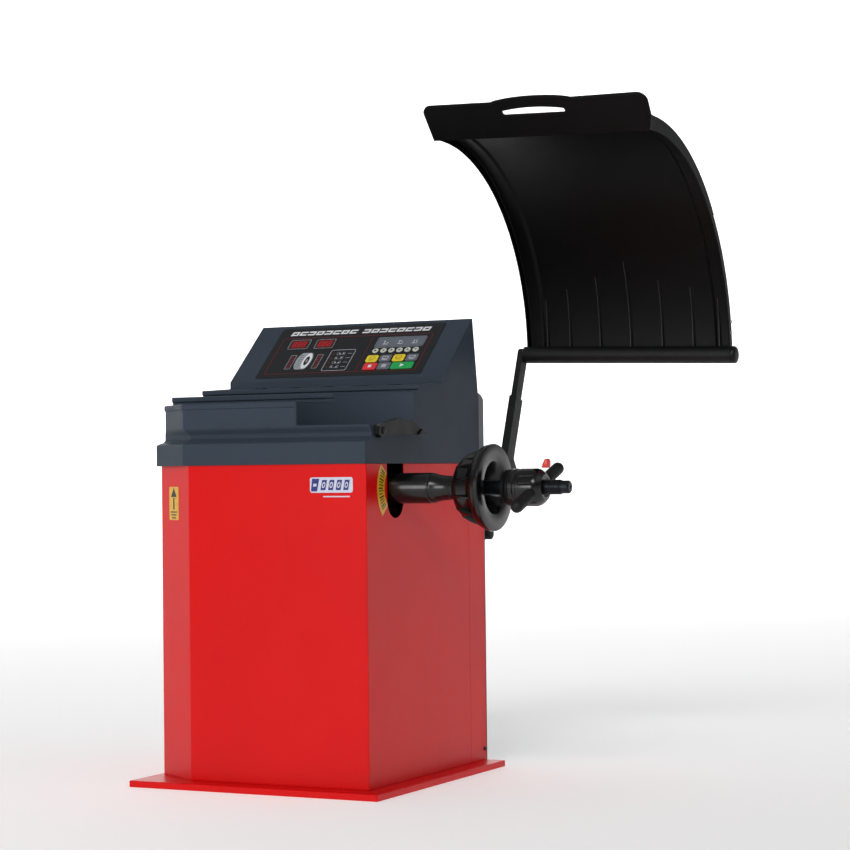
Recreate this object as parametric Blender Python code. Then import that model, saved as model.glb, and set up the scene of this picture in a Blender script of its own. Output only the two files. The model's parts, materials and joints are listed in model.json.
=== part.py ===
"""Wheel balancer with a tool tray, a control head and a swinging wheel guard.

Metres, +Z up. The origin is the centre of the base plate's underside, +X runs along the
spindle towards its free end, and +Y runs to the back. The guard is modelled open.
"""
import math

import bmesh
import bpy
from mathutils import Matrix, Vector

# ---- driving dimensions -------------------------------------------------------------
GAP = 0.0003                    # clearance between neighbouring pieces

PLATE_WIDTH = 0.712
PLATE_DEPTH = 0.732
PLATE_THICK = 0.017

SHEET = 0.002                   # cabinet sheet metal
CABINET_LEFT = -0.344
CABINET_RIGHT = 0.302
CABINET_FRONT = -0.306
CABINET_BACK = 0.366
CABINET_TOP = 0.812
CHAMFER = (0.136, 0.083)        # front left corner, along X and along Y
SEAM_Y = 0.269                  # where the side panels meet the rear posts
PANEL_TOP_INSIDE = 0.850        # panels that run up inside the plastic skirt
REAR_COVER_TOP = 1.000
REAR_COVER_THICK = 0.0015
VENT_COLUMNS = (-0.170, 0.130)  # middles of the two columns of vents in the rear cover
VENT_COUNT = 7
VENT_LOWEST = 0.500
VENT_PITCH = 0.022
VENT_WIDTH = 0.130
VENT_HEIGHT = 0.006
INLET_SIZE = (0.028, 0.022)     # openings in the rear cover, (x, z)
INLET_PLACE = (-0.250, 0.180)
SWITCH_SIZE = (0.022, 0.028)
SWITCH_PLACE = (-0.250, 0.240)

SIDE_SCREW = (0.352, 0.047)     # place on the right rear post, (y, z)

COVER_WALL = 0.0032             # moulded plastic top cover
COVER_RIGHT = 0.303
COVER_BACK = 0.3365
SKIRT_LEFT = -0.358
SKIRT_FRONT = -0.310
SKIRT_TOP = 0.868
NOSE_FRONT = -0.292
NOSE_NECK = -0.278
NOSE_TOP = 0.969
NOSE_CHAMFER = 0.108            # the nose's own chamfer, along X
RECESS_FLOOR = 0.908
RECESS_RADIUS = 0.2600
RECESS_CENTRE = (0.358, -0.306)
DECK_ONE = (-0.170, 0.992)      # front edge in Y, height in Z
DECK_TWO = (-0.022, 1.013)
DECK_THREE = (0.122, 1.022)
PANEL_LOW = (0.122, 1.040)      # lower edge of the sloping control face
PANEL_HIGH = (0.303, 1.200)
PANEL_THICK = 0.0008

# bins in the decks: count, (x from, x to), (y from, y to), floor and top
BIN_ROWS = ((4, (-0.238, 0.086), (-0.281, -0.180), 0.918, NOSE_TOP),
            (5, (-0.322, 0.128), (-0.158, -0.036), 0.950, DECK_ONE[1]),
            (6, (-0.322, 0.286), (-0.008, 0.108), 0.972, DECK_TWO[1]))
BIN_DIVIDER = 0.006

# keys: name, (u, v) of the centre on the control face, (width, height), corner radius, finish
ROUND_KEY = 0.0186
KEY_STEPS = 3                   # corner steps of a round key
KEY_HEIGHT = 0.028
KEY_CORNER = 0.004
KEYS = [(f"key_round_{k + 1}", (0.0615 + 0.0242 * k, 0.1125), (ROUND_KEY, ROUND_KEY),
         ROUND_KEY / 2 - 0.0001, "key_white") for k in range(6)]
KEYS += [(f"key_square_{k + 1}", (0.0645 + 0.0400 * k, 0.0785), (0.035, KEY_HEIGHT),
          KEY_CORNER, ("key_yellow", "key_grey")[k % 2]) for k in range(4)]
KEYS += [("key_stop", (0.0700, 0.0460), (0.040, KEY_HEIGHT), KEY_CORNER, "key_red"),
         ("key_menu", (0.1120, 0.0460), (0.038, KEY_HEIGHT), KEY_CORNER, "key_grey"),
         ("key_start", (0.1665, 0.0460), (0.066, KEY_HEIGHT), KEY_CORNER, "key_green")]
KEY_FOOT, KEY_EDGE, KEY_TOP = 0.0014, 0.0034, 0.0040    # heights above the control face
DISPLAY_TOP = 0.0014
DISPLAY_CORNER = 0.0018
DISPLAYS = (("display_left", (-0.1910, 0.1545), (0.066, 0.043)),
            ("display_right", (-0.1105, 0.1535), (0.062, 0.042)))
KEY_PLAY = 0.0012               # how much larger an opening is than the key in it
MEMBRANE_SIZE = (0.505, 0.214)
MEMBRANE_CENTRE = (-0.019, 0.119)

SPINDLE_Y = -0.151
SPINDLE_Z = 0.750
SHAFT_R = 0.018
SHAFT_END = 0.776
HOUSING_START = 0.060
HOUSING_END = 0.473
HOUSING_R = 0.038
BEARING_R = 0.031
FLANGE_FACE = 0.577
FLANGE_R = 0.107
SLOT_HALF = 0.0445

NUT_FACE = 0.6280               # quick nut, from its pressure cup to its free end
NUT_END = 0.7120
NUT_R = 0.046
GRIP_X = 0.690
GRIP_TURN = math.radians(20)    # of the back grip above +Y
GRIP_REACH = 0.146
GRIP_R = 0.0155
LEVER_X = 0.7050                # hinge of the release lever
LEVER_WIDTH = 0.018

PULLEY_X = (0.024, 0.048)
SPINDLE_PULLEY_R = 0.060
MOTOR_PULLEY_R = 0.020
MOTOR_Y = 0.020
MOTOR_Z = 0.500

GAUGE_Y = -0.244
GAUGE_Z = 0.893
GAUGE_ROD_R = 0.006

PIVOT_Y = 0.394                 # hinge of the wheel guard
PIVOT_Z = 0.702
PIVOT_R = 0.016
PIVOT_START = 0.120             # left end of the pivot shaft
ARM_X = 0.336
SLEEVE_LENGTH = 0.310           # lower part of the arm, from the hinge
BOSS_HALF = 0.0112              # half the width of its round foot
RAIL_START = 0.3443
RAIL_END = 0.958
RAIL_Y = 0.554
RAIL_Z = 1.110
RAIL_R = 0.023
GUARD_DROOP = math.radians(1.8)
GUARD_LEFT = 0.350
GUARD_RIGHT = 0.938
GUARD_R = 0.527                 # inner edge of the guard's side flanges
GUARD_SKIN_R = 0.552
GUARD_WALL = 0.004
LIP_FOOT = (-0.009, 1.633)      # lower edge of the front lip, (y, z)
LIP_LEAN = math.radians(46.5)   # its slope above the horizontal, going forward
LIP_LENGTH = (0.107, 0.114)     # at its left and right ends
LIP_FLARE = 0.018               # how far its right end stands out past the shell
SLOT_X = 0.650                  # middle of the hand slot
SLOT_UP = 0.078                 # its middle's distance up the lip
HAND_SLOT = (0.168, 0.020)
LIP_RISE_FROM = 0.540           # the lip gets longer from here on to the right
BRACKET_EARS = (0.132, 0.272)   # left faces of the two bearing ears, along X
EAR_WIDTH = 0.022

# ---- materials -----------------------------------------------------------------------
FINISHES = {
    "red_front": ((0.72, 0.012, 0.014), 0.35, 0.0),
    "cover_plastic": ((0.045, 0.055, 0.070), 0.45, 0.0),
    "black_plastic": ((0.010, 0.010, 0.011), 0.35, 0.0),
    "black_metal": ((0.012, 0.013, 0.014), 0.30, 0.6),
    "steel": ((0.55, 0.55, 0.56), 0.30, 1.0),
    "zinc": ((0.42, 0.43, 0.42), 0.45, 1.0),
    "grey_sheet": ((0.20, 0.20, 0.20), 0.50, 0.0),
    "rubber": ((0.015, 0.015, 0.016), 0.80, 0.0),
    "membrane": ((0.012, 0.013, 0.015), 0.40, 0.0),
    "red_window": ((0.16, 0.006, 0.010), 0.20, 0.0),
    "key_white": ((0.70, 0.72, 0.66), 0.40, 0.0),
    "key_grey": ((0.15, 0.17, 0.20), 0.40, 0.0),
    "key_yellow": ((0.80, 0.62, 0.05), 0.40, 0.0),
    "key_red": ((0.75, 0.06, 0.08), 0.40, 0.0),
    "key_green": ((0.03, 0.42, 0.16), 0.40, 0.0),
    "lever_red": ((0.80, 0.07, 0.04), 0.40, 0.0),
    "circuit": ((0.02, 0.16, 0.07), 0.50, 0.0),
}


def material(finish):
    """One Principled material for each finish, made when it is first asked for."""
    found = bpy.data.materials.get(finish)
    if found:
        return found
    colour, roughness, metallic = FINISHES[finish]
    made = bpy.data.materials.new(finish)
    made.use_nodes = True
    shader = made.node_tree.nodes["Principled BSDF"]
    shader.inputs["Base Color"].default_value = (*colour, 1.0)
    shader.inputs["Roughness"].default_value = roughness
    shader.inputs["Metallic"].default_value = metallic
    made.diffuse_color = (*colour, 1.0)
    return made


# ---- mesh helpers ----------------------------------------------------------------------
def finish_mesh(bm, name):
    """Turn a closed bmesh into a mesh whose faces point out."""
    bmesh.ops.recalc_face_normals(bm, faces=bm.faces)
    mesh = bpy.data.meshes.new(name)
    bm.to_mesh(mesh)
    bm.free()
    return mesh


def add_object(name, mesh, finish="steel"):
    """Put a mesh in the scene as a named object with its finish."""
    made = bpy.data.objects.new(name, mesh)
    bpy.context.scene.collection.objects.link(made)
    mesh.materials.clear()
    mesh.materials.append(material(finish))
    return made


def loft(rings, closed=False):
    """Skin rings that have the same number of points; cap the ends unless it closes on itself."""
    bm = bmesh.new()
    loops = [[bm.verts.new(point) for point in ring] for ring in rings]
    pairs = list(zip(loops, loops[1:]))
    if closed:
        pairs.append((loops[-1], loops[0]))
    count = len(loops[0])
    for low, high in pairs:
        for i in range(count):
            j = (i + 1) % count
            bm.faces.new((low[i], low[j], high[j], high[i]))
    if not closed:
        bm.faces.new(loops[0])
        bm.faces.new(loops[-1])
    return bm


def box(name, low, high, finish="steel"):
    """A block between two corners."""
    (x0, y0, z0), (x1, y1, z1) = low, high
    plan = ((x0, y0), (x1, y0), (x1, y1), (x0, y1))
    bm = loft([[(x, y, z) for x, y in plan] for z in (z0, z1)])
    return add_object(name, finish_mesh(bm, name), finish)


def prism(name, outline, axis, low, high, finish="steel"):
    """An outline in the two other axes, in X, Y, Z order, extruded along an axis."""
    def point(a, b, c):
        return {"X": (c, a, b), "Y": (a, c, b), "Z": (a, b, c)}[axis]
    bm = loft([[point(a, b, c) for a, b in outline] for c in (low, high)])
    return add_object(name, finish_mesh(bm, name), finish)


def turned(name, profile, finish="steel", segments=32, centre=(SPINDLE_Y, SPINDLE_Z)):
    """Turn a profile of (x, radius) about a line along X.

    A profile that starts and ends on the axis makes a solid; any other one closes on itself.
    """
    solid = profile[0][1] == 0.0
    inner = profile[1:-1] if solid else profile
    rings = []
    for x, radius in inner:
        turns = [2 * math.pi * k / segments for k in range(segments)]
        rings.append([(x, centre[0] + radius * math.cos(t), centre[1] + radius * math.sin(t))
                      for t in turns])
    bm = loft(rings, closed=not solid)
    return add_object(name, finish_mesh(bm, name), finish)


def combine(target, tool, operation):
    """Cut, join or intersect a tool with a target for good, and remove the tool."""
    modifier = target.modifiers.new("combine", "BOOLEAN")
    modifier.operation = operation
    modifier.solver = "EXACT"
    modifier.object = tool
    bpy.context.view_layer.update()
    graph = bpy.context.evaluated_depsgraph_get()
    result = bpy.data.meshes.new_from_object(target.evaluated_get(graph))
    target.modifiers.clear()
    kept = target.data.materials[0]
    target.data = result
    result.materials.clear()
    result.materials.append(kept)
    bpy.data.objects.remove(tool)
    return target


def cut(target, tool):
    return combine(target, tool, "DIFFERENCE")


def join(target, tool):
    return combine(target, tool, "UNION")


def hinge_at(pieces, x, y, z):
    """Move the origins of pieces to a point on their joint's axis, leaving them where they are."""
    place = Vector((x, y, z))
    for piece in pieces:
        piece.data.transform(Matrix.Translation(-place))
        piece.location = place


def smooth(piece, angle=35):
    """Shade a round piece smooth, keeping its corners sharp."""
    piece.data.shade_smooth()
    piece.data.set_sharp_from_angle(angle=math.radians(angle))
    return piece


def rounded(width, height, radius, steps=4, centre=(0.0, 0.0)):
    """Outline of a rectangle with round corners."""
    points = []
    corners = ((1, 1, 0), (-1, 1, 90), (-1, -1, 180), (1, -1, 270))
    for sx, sy, start in corners:
        for k in range(steps + 1):
            turn = math.radians(start + 90 * k / steps)
            points.append((centre[0] + sx * (width / 2 - radius) + radius * math.cos(turn),
                           centre[1] + sy * (height / 2 - radius) + radius * math.sin(turn)))
    return points


def circle(radius, segments=24, centre=(0.0, 0.0)):
    """Outline of a circle."""
    turns = [2 * math.pi * k / segments for k in range(segments)]
    return [(centre[0] + radius * math.cos(t), centre[1] + radius * math.sin(t)) for t in turns]


def folded(points, thickness):
    """Outline of a sheet folded along a path; the sheet lies to the left of the path."""
    path = [Vector(p) for p in points]
    inner = []
    for i, corner in enumerate(path):
        sides = []
        if i > 0:
            sides.append((corner - path[i - 1]).normalized())
        if i < len(path) - 1:
            sides.append((path[i + 1] - corner).normalized())
        normals = [Vector((-d.y, d.x)) for d in sides]
        mitre = sum(normals, Vector((0.0, 0.0))).normalized()
        inner.append(corner + mitre * thickness / mitre.dot(normals[0]))
    return [tuple(p) for p in path] + [tuple(p) for p in reversed(inner)]


# ---- cabinet -----------------------------------------------------------------------------
def make_base():
    half_w = PLATE_WIDTH / 2
    half_d = PLATE_DEPTH / 2
    box("base_plate", (-half_w, -half_d, 0), (half_w, half_d, PLATE_THICK), "red_front")


def make_front_panel():
    """Front, chamfered corner and left side, folded from one sheet."""
    chamfer_x = CABINET_LEFT + CHAMFER[0]
    chamfer_y = CABINET_FRONT + CHAMFER[1]
    path = [(CABINET_LEFT, SEAM_Y - GAP), (CABINET_LEFT, chamfer_y),
            (chamfer_x, CABINET_FRONT), (CABINET_RIGHT - GAP, CABINET_FRONT)]
    outline = folded(path, SHEET)
    panel = prism("cabinet_front_panel", outline, "Z", PLATE_THICK + GAP, PANEL_TOP_INSIDE, "red_front")
    corner = (COVER_RIGHT - COVER_WALL - 0.001, CABINET_FRONT - 0.01, CABINET_TOP - GAP)
    cut(panel, box("corner_notch", corner, (CABINET_RIGHT + 0.01, CABINET_FRONT + 0.01, 0.9)))


def make_right_panel():
    """Right side with the open-topped slot that the spindle housing passes through."""
    low = (CABINET_RIGHT - SHEET, CABINET_FRONT + SHEET + GAP, PLATE_THICK + GAP)
    high = (CABINET_RIGHT, SEAM_Y - GAP, CABINET_TOP - GAP)
    panel = box("cabinet_right_panel", low, high, "red_front")
    bottom = SPINDLE_Z - 0.0295
    outline = [(SPINDLE_Y + SLOT_HALF, CABINET_TOP + 0.01), (SPINDLE_Y - SLOT_HALF, CABINET_TOP + 0.01)]
    for k in range(13):
        turn = math.pi + math.pi * k / 12
        outline.append((SPINDLE_Y + SLOT_HALF * math.cos(turn), bottom + SLOT_HALF * math.sin(turn)))
    cut(panel, prism("slot", outline, "X", CABINET_RIGHT - 0.02, CABINET_RIGHT + 0.02))


def make_rear_posts():
    """Folded corner posts at the back that carry the rear cover."""
    turn_in = 0.036
    back = CABINET_BACK - REAR_COVER_THICK - GAP
    low = PLATE_THICK + GAP
    right = folded([(CABINET_RIGHT, SEAM_Y + GAP), (CABINET_RIGHT, back),
                    (CABINET_RIGHT - turn_in, back)], SHEET)
    prism("rear_post_right", right, "Z", low, CABINET_TOP - GAP, "red_front")
    left = folded([(CABINET_LEFT + turn_in, back), (CABINET_LEFT, back),
                   (CABINET_LEFT, SEAM_Y + GAP)], SHEET)
    prism("rear_post_left", left, "Z", low, CABINET_TOP - GAP, "red_front")


def make_rear_cover():
    """Grey rear cover, with vents and openings, that rises behind the control head."""
    top = REAR_COVER_TOP
    path = [(CABINET_BACK, PLATE_THICK + GAP), (CABINET_BACK, top - 0.018),
            (CABINET_BACK - 0.007, top - 0.010), (COVER_BACK + 0.004, top)]
    outline = folded(path, REAR_COVER_THICK)
    right = COVER_RIGHT
    left = CABINET_LEFT
    cover = prism("rear_cover", outline, "X", left, right, "grey_sheet")
    foot = CABINET_TOP + 0.004
    side = [(COVER_BACK + GAP, foot), (CABINET_BACK - 0.0008, foot), (CABINET_BACK - 0.0008, top - 0.018),
            (CABINET_BACK - 0.0075, top - 0.0105), (COVER_BACK + 0.0045, top - 0.0007),
            (COVER_BACK + GAP, top - 0.004)]
    for x in (right - REAR_COVER_THICK, left):
        join(cover, prism("side_return", side, "X", x, x + REAR_COVER_THICK))
    for column in VENT_COLUMNS:
        for k in range(VENT_COUNT):
            z = VENT_LOWEST + VENT_PITCH * k
            low = (column - VENT_WIDTH / 2, CABINET_BACK - 0.01, z)
            high = (column + VENT_WIDTH / 2, CABINET_BACK + 0.01, z + VENT_HEIGHT)
            cut(cover, box("vent", low, high))
    inlet = rounded(*INLET_SIZE, 0.003, 2, INLET_PLACE)
    cut(cover, prism("inlet_hole", inlet, "Y", CABINET_BACK - 0.01, CABINET_BACK + 0.01))
    switch = rounded(*SWITCH_SIZE, 0.002, 2, SWITCH_PLACE)
    cut(cover, prism("switch_hole", switch, "Y", CABINET_BACK - 0.01, CABINET_BACK + 0.01))


def make_power_inlet():
    """Mains inlet socket, a flange with a shrouded well and a body behind it."""
    width, height = INLET_SIZE
    flange = rounded(width + 0.020, height + 0.008, 0.004, 2, INLET_PLACE)
    front = CABINET_BACK + GAP
    inlet = prism("power_inlet", flange, "Y", front, front + 0.003, "black_plastic")
    body = rounded(width - 0.001, height - 0.001, 0.002, 2, INLET_PLACE)
    join(inlet, prism("inlet_body", body, "Y", CABINET_BACK - 0.022, front + 0.001))
    well = rounded(width - 0.005, height - 0.006, 0.002, 2, INLET_PLACE)
    cut(inlet, prism("inlet_well", well, "Y", CABINET_BACK - 0.016, front + 0.01))


def make_power_switch():
    """Rocker in a framed housing; the rocker tilts about a line along X."""
    x, z = SWITCH_PLACE
    width, height = SWITCH_SIZE
    front = CABINET_BACK + GAP
    frame = prism("switch_frame", rounded(width + 0.005, height + 0.005, 0.002, 2, SWITCH_PLACE),
                  "Y", front, front + 0.002, "black_plastic")
    body = rounded(width - 0.001, height - 0.001, 0.001, 2, SWITCH_PLACE)
    join(frame, prism("switch_body", body, "Y", CABINET_BACK - 0.018, front + 0.001))
    well = rounded(width - 0.005, height - 0.005, 0.001, 2, SWITCH_PLACE)
    cut(frame, prism("switch_well", well, "Y", CABINET_BACK - 0.012, front + 0.01))
    y = front - 0.003
    profile = [(y - 0.0035, z - 0.0070), (y - 0.0035, z + 0.0070), (y + 0.0020, z + 0.0098),
               (y + 0.0035, z + 0.0095), (y + 0.0030, z), (y + 0.0065, z - 0.0095),
               (y + 0.0040, z - 0.0102)]
    half = width / 2 - 0.003
    rocker = prism("power_rocker", profile, "X", x - half, x + half, "black_plastic")
    hinge_at([rocker], x, y, z)


def make_side_screw():
    """Screw low on the right rear post."""
    face, top, radius = CABINET_RIGHT + GAP, CABINET_RIGHT + 0.0032, 0.0060
    profile = [(face, 0.0), (face, radius), (top - 0.0014, radius - 0.0004),
               (top, radius - 0.0022), (top, 0.0)]
    smooth(turned("side_screw", profile, "zinc", 12, SIDE_SCREW))


# ---- plastic top cover -------------------------------------------------------------------
def cover_ring(z, front, left, chamfer, inset=0.0):
    """Plan outline of the lower cover at one height, with its chamfered front left corner."""
    right = COVER_RIGHT - inset
    back = COVER_BACK - inset
    shift = inset * 0.35
    datum = min(front, SKIRT_FRONT + 0.003) if left < CABINET_LEFT - 0.005 else NOSE_FRONT
    outer, face = left + inset, front + inset
    return [(right, face, z), (outer + chamfer - shift, face, z),
            (outer, datum + inset + CHAMFER[1] - shift, z), (outer, back, z), (right, back, z)]


def lower_cover(name, inset, bottom, top):
    """Skirt, neck undercut at the front, and nose as one loft; an inset makes the hollow."""
    left, chamfer, base = CABINET_LEFT, NOSE_CHAMFER, SKIRT_TOP
    skirt_top = SKIRT_TOP - inset
    levels = [(bottom, SKIRT_FRONT, SKIRT_LEFT, CHAMFER[0]),
              (skirt_top - 0.003, SKIRT_FRONT, SKIRT_LEFT, CHAMFER[0]),
              (skirt_top, SKIRT_FRONT + 0.003, SKIRT_LEFT + 0.003, CHAMFER[0]),
              (base + 0.005, NOSE_FRONT + 0.002, left - 0.003, chamfer + 0.020),
              (base + 0.011, NOSE_NECK, left, chamfer + 0.018),
              (base + 0.019, NOSE_NECK, left, chamfer + 0.016),
              (base + 0.028, NOSE_NECK - 0.007, left, chamfer + 0.007),
              (base + 0.038, NOSE_FRONT, left, chamfer),
              (top, NOSE_FRONT, left, chamfer)]
    rings = [cover_ring(*level, inset) for level in levels]
    return add_object(name, finish_mesh(loft(rings), name), "cover_plastic")


def upper_profile(inset):
    """Side view of the decks and the control head, as (y, z) points."""
    t = inset
    slope = Vector((PANEL_HIGH[0] - PANEL_LOW[0], PANEL_HIGH[1] - PANEL_LOW[1])).normalized()
    normal = Vector((slope.y, -slope.x)) * t
    bottom = NOSE_TOP - 0.011
    return [(DECK_ONE[0] + t, bottom), (DECK_ONE[0] + t, DECK_ONE[1] - t),
            (DECK_TWO[0] + t, DECK_ONE[1] + 0.001 - t), (DECK_TWO[0] + t, DECK_TWO[1] - t),
            (DECK_THREE[0] + t, DECK_THREE[1] - t), (PANEL_LOW[0] + t, PANEL_LOW[1] - 0.4 * t),
            (PANEL_HIGH[0] + 0.2 * t, PANEL_HIGH[1] - 1.5 * t), (COVER_BACK - 0.002 - t, 0.99),
            (COVER_BACK - t, 0.97), (COVER_BACK - t, bottom)]


def bin_boxes():
    """Every bin as (low corner, high corner)."""
    boxes = []
    for count, (x0, x1), (y0, y1), floor, top in BIN_ROWS:
        pitch = (x1 - x0 + BIN_DIVIDER) / count
        for k in range(count):
            left = x0 + k * pitch
            boxes.append(((left, y0, floor), (left + pitch - BIN_DIVIDER, y1, top + 0.03)))
    return boxes


def make_top_cover():
    """One moulding: skirt, nose with bins, recess, stepped decks and the control head."""
    cover = lower_cover("top_cover", 0.0, CABINET_TOP + GAP, NOSE_TOP)
    join(cover, prism("upper", upper_profile(0.0), "X", CABINET_LEFT, COVER_RIGHT))
    hollow = lower_cover("hollow", COVER_WALL, CABINET_TOP - 0.01, NOSE_TOP - COVER_WALL)
    join(hollow, prism("upper_hollow", upper_profile(COVER_WALL), "X",
                       CABINET_LEFT + COVER_WALL, COVER_RIGHT - COVER_WALL))
    recess = circle(RECESS_RADIUS, 64, RECESS_CENTRE)
    recess_wall = circle(RECESS_RADIUS + COVER_WALL, 64, RECESS_CENTRE)
    cut(hollow, prism("recess_wall", recess_wall, "Z", RECESS_FLOOR - COVER_WALL, PANEL_HIGH[1]))
    for _, (x0, x1), (y0, y1), floor, top in BIN_ROWS:
        t = COVER_WALL - 0.0002
        cut(hollow, box("bin_walls", (x0 - t, y0 - t, floor - t), (x1 + t, y1 + t, top + 0.04)))
    cut(cover, prism("recess", recess, "Z", RECESS_FLOOR, PANEL_HIGH[1] - 0.05))
    for low, high in bin_boxes():
        cut(cover, box("bin", low, high))
    cut(cover, hollow)
    rod_hole = circle(GAUGE_ROD_R + 0.0025, 16, (GAUGE_Y, GAUGE_Z))
    cut(cover, prism("rod_hole", rod_hole, "X", COVER_RIGHT - 0.02, COVER_RIGHT + 0.02))


# ---- control panel -------------------------------------------------------------------------
def panel_matrix():
    """From panel coordinates (u along X, v up the slope, n out of the face) to the world."""
    slope = Vector((0.0, PANEL_HIGH[0] - PANEL_LOW[0], PANEL_HIGH[1] - PANEL_LOW[1])).normalized()
    across = Vector((1.0, 0.0, 0.0))
    turn = Matrix((across, slope, across.cross(slope))).transposed().to_4x4()
    return Matrix.Translation((0.0, PANEL_LOW[0], PANEL_LOW[1])) @ turn


def panel_piece(name, outline, low, high, finish, centre=(0.0, 0.0)):
    """A prism on the sloping face whose origin is at its own centre."""
    piece = prism(name, outline, "Z", low, high, finish)
    piece.matrix_world = panel_matrix() @ Matrix.Translation((centre[0], centre[1], 0.0))
    return piece


def corner_steps(width, radius):
    """More corner steps for a round key than for a square one."""
    return KEY_STEPS if width - 2 * radius < 0.001 else 1


def make_control_panel():
    """Membrane with openings, two display windows and thirteen keys that press in."""
    outline = rounded(*MEMBRANE_SIZE, 0.006, 3, MEMBRANE_CENTRE)
    membrane = prism("control_membrane", outline, "Z", GAP, GAP + PANEL_THICK, "membrane")
    openings = [(centre, size, radius + KEY_PLAY / 2) for _, centre, size, radius, _ in KEYS]
    openings += [(centre, size, DISPLAY_CORNER) for _, centre, size in DISPLAYS]
    for centre, (w, h), radius in openings:
        hole = rounded(w + KEY_PLAY, h + KEY_PLAY, radius, corner_steps(w, radius), centre)
        cut(membrane, prism("opening", hole, "Z", -0.01, 0.01))
    membrane.matrix_world = panel_matrix()
    for name, centre, (w, h) in DISPLAYS:
        panel_piece(name, rounded(w, h, DISPLAY_CORNER, 1), GAP, DISPLAY_TOP, "red_window", centre)
    for name, centre, (w, h), radius, finish in KEYS:
        edge = KEY_TOP - KEY_EDGE
        steps = corner_steps(w, radius)
        sides = rounded(w, h, radius, steps)
        top = rounded(w - 2 * edge, h - 2 * edge, radius - edge, steps)
        levels = ((sides, KEY_FOOT), (sides, KEY_EDGE), (top, KEY_TOP))
        rings = [[(x, y, z) for x, y in shape] for shape, z in levels]
        key = add_object(name, finish_mesh(loft(rings), name), finish)
        key.matrix_world = panel_matrix() @ Matrix.Translation((centre[0], centre[1], 0.0))


def make_boards():
    """Control board behind the face, and the power board inside the cabinet."""
    back, thick, sunk = -0.0190, 0.0016, 0.0006
    outline = rounded(0.460, 0.150, 0.003, 1, (-0.020, 0.110))
    board = prism("control_board", outline, "Z", back, back + thick, "circuit")
    front = back + thick - sunk
    for u, v, w, h, t in ((-0.151, 0.154, 0.160, 0.045, 0.009), (0.125, 0.085, 0.150, 0.090, 0.006)):
        join(board, prism("part", rounded(w, h, 0.001, 1, (u, v)), "Z", front, front + t))
    board.matrix_world = panel_matrix()
    left = -0.2600
    right = left + thick
    power = box("power_board", (left, 0.100, 0.300), (right, 0.240, 0.480), "circuit")
    parts = ((0.140, 0.350, 0.028, 0.035, 0.050), (0.205, 0.350, 0.018, 0.020, 0.030),
             (0.170, 0.440, 0.050, 0.022, 0.022))
    for y, z, half_y, half_z, reach in parts:
        low = (right - sunk, y - half_y, z - half_z)
        join(power, box("part", low, (right + reach, y + half_y, z + half_z)))


# ---- spindle and drive ---------------------------------------------------------------------
def make_housing():
    """Bearing housing: a tube with a taper at the free end, and its two bearings."""
    profile = [(HOUSING_START, HOUSING_R), (0.410, HOUSING_R), (0.416, HOUSING_R - 0.0015),
               (0.452, 0.031), (HOUSING_END - 0.002, 0.030), (HOUSING_END, 0.029), (HOUSING_END, 0.0215),
               (0.4045, 0.0215), (0.4045, BEARING_R + GAP), (HOUSING_START, BEARING_R + GAP)]
    smooth(turned("spindle_housing", profile, "black_metal", 32))
    for name, x in (("rear_bearing", 0.064), ("front_bearing", 0.3865)):
        ring = [(x, BEARING_R), (x + 0.0175, BEARING_R), (x + 0.0175, SHAFT_R + GAP), (x, SHAFT_R + GAP)]
        smooth(turned(name, ring, "steel", 28))


def make_spindle():
    """Shaft with its flange hub, pulley and encoder disc, all turning together."""
    shaft = [(0.018, 0.0), (0.018, SHAFT_R), (0.754, SHAFT_R), (0.7555, SHAFT_R - 0.002),
             (SHAFT_END - 0.003, SHAFT_R - 0.002), (SHAFT_END, SHAFT_R - 0.005), (SHAFT_END, 0.0)]
    shaft = smooth(turned("spindle_shaft", shaft, "black_metal", 32))
    bore = SHAFT_R + GAP
    face = FLANGE_FACE
    hub = [(0.4765, 0.037), (0.4820, 0.041), (0.4880, 0.059), (0.4960, 0.072), (0.5060, 0.079),
           (0.5300, 0.079), (0.5400, 0.095), (0.5500, 0.105), (0.5540, FLANGE_R),
           (face - 0.003, FLANGE_R), (face, FLANGE_R - 0.003), (face, 0.066), (face - 0.004, 0.063),
           (0.5300, 0.047), (0.5100, 0.038), (0.5060, bore), (0.4765, bore)]
    hub = smooth(turned("flange_hub", hub, "black_metal", 44))
    x0, x1 = PULLEY_X
    r = SPINDLE_PULLEY_R
    pulley = [(x0, r + 0.003), (x0 + 0.0015, r + 0.003), (x0 + 0.0025, r), (x1 - 0.0025, r),
              (x1 - 0.0015, r + 0.003), (x1, r + 0.003), (x1, bore), (x0, bore)]
    pulley = smooth(turned("spindle_pulley", pulley, "black_plastic", 32))
    near, far, rim = 0.0525, 0.0537, 0.035
    disc = turned("encoder_disc", [(near, rim), (far, rim), (far, bore), (near, bore)], "zinc", 32)
    hinge_at([shaft, hub, pulley, disc], SHAFT_END, SPINDLE_Y, SPINDLE_Z)


def make_drive():
    """Motor, motor pulley and the belt up to the spindle pulley."""
    centre = (MOTOR_Y, MOTOR_Z)
    motor = [(0.0680, 0.0), (0.0680, 0.046), (0.072, 0.050), (0.180, 0.050), (0.188, 0.044), (0.188, 0.0)]
    smooth(turned("drive_motor", motor, "zinc", 28, centre))
    x0, x1 = PULLEY_X
    r = MOTOR_PULLEY_R
    pulley = [(x0, 0.0), (x0, r + 0.003), (x0 + 0.0015, r + 0.003), (x0 + 0.0025, r), (x1 - 0.0025, r),
              (x1 - 0.0015, r + 0.003), (x1, r + 0.003), (x1, 0.007), (0.0645, 0.007), (0.0645, 0.0)]
    pulley = smooth(turned("motor_pulley", pulley, "zinc", 20, centre))
    hinge_at([pulley], x0, *centre)
    make_belt()


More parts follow.
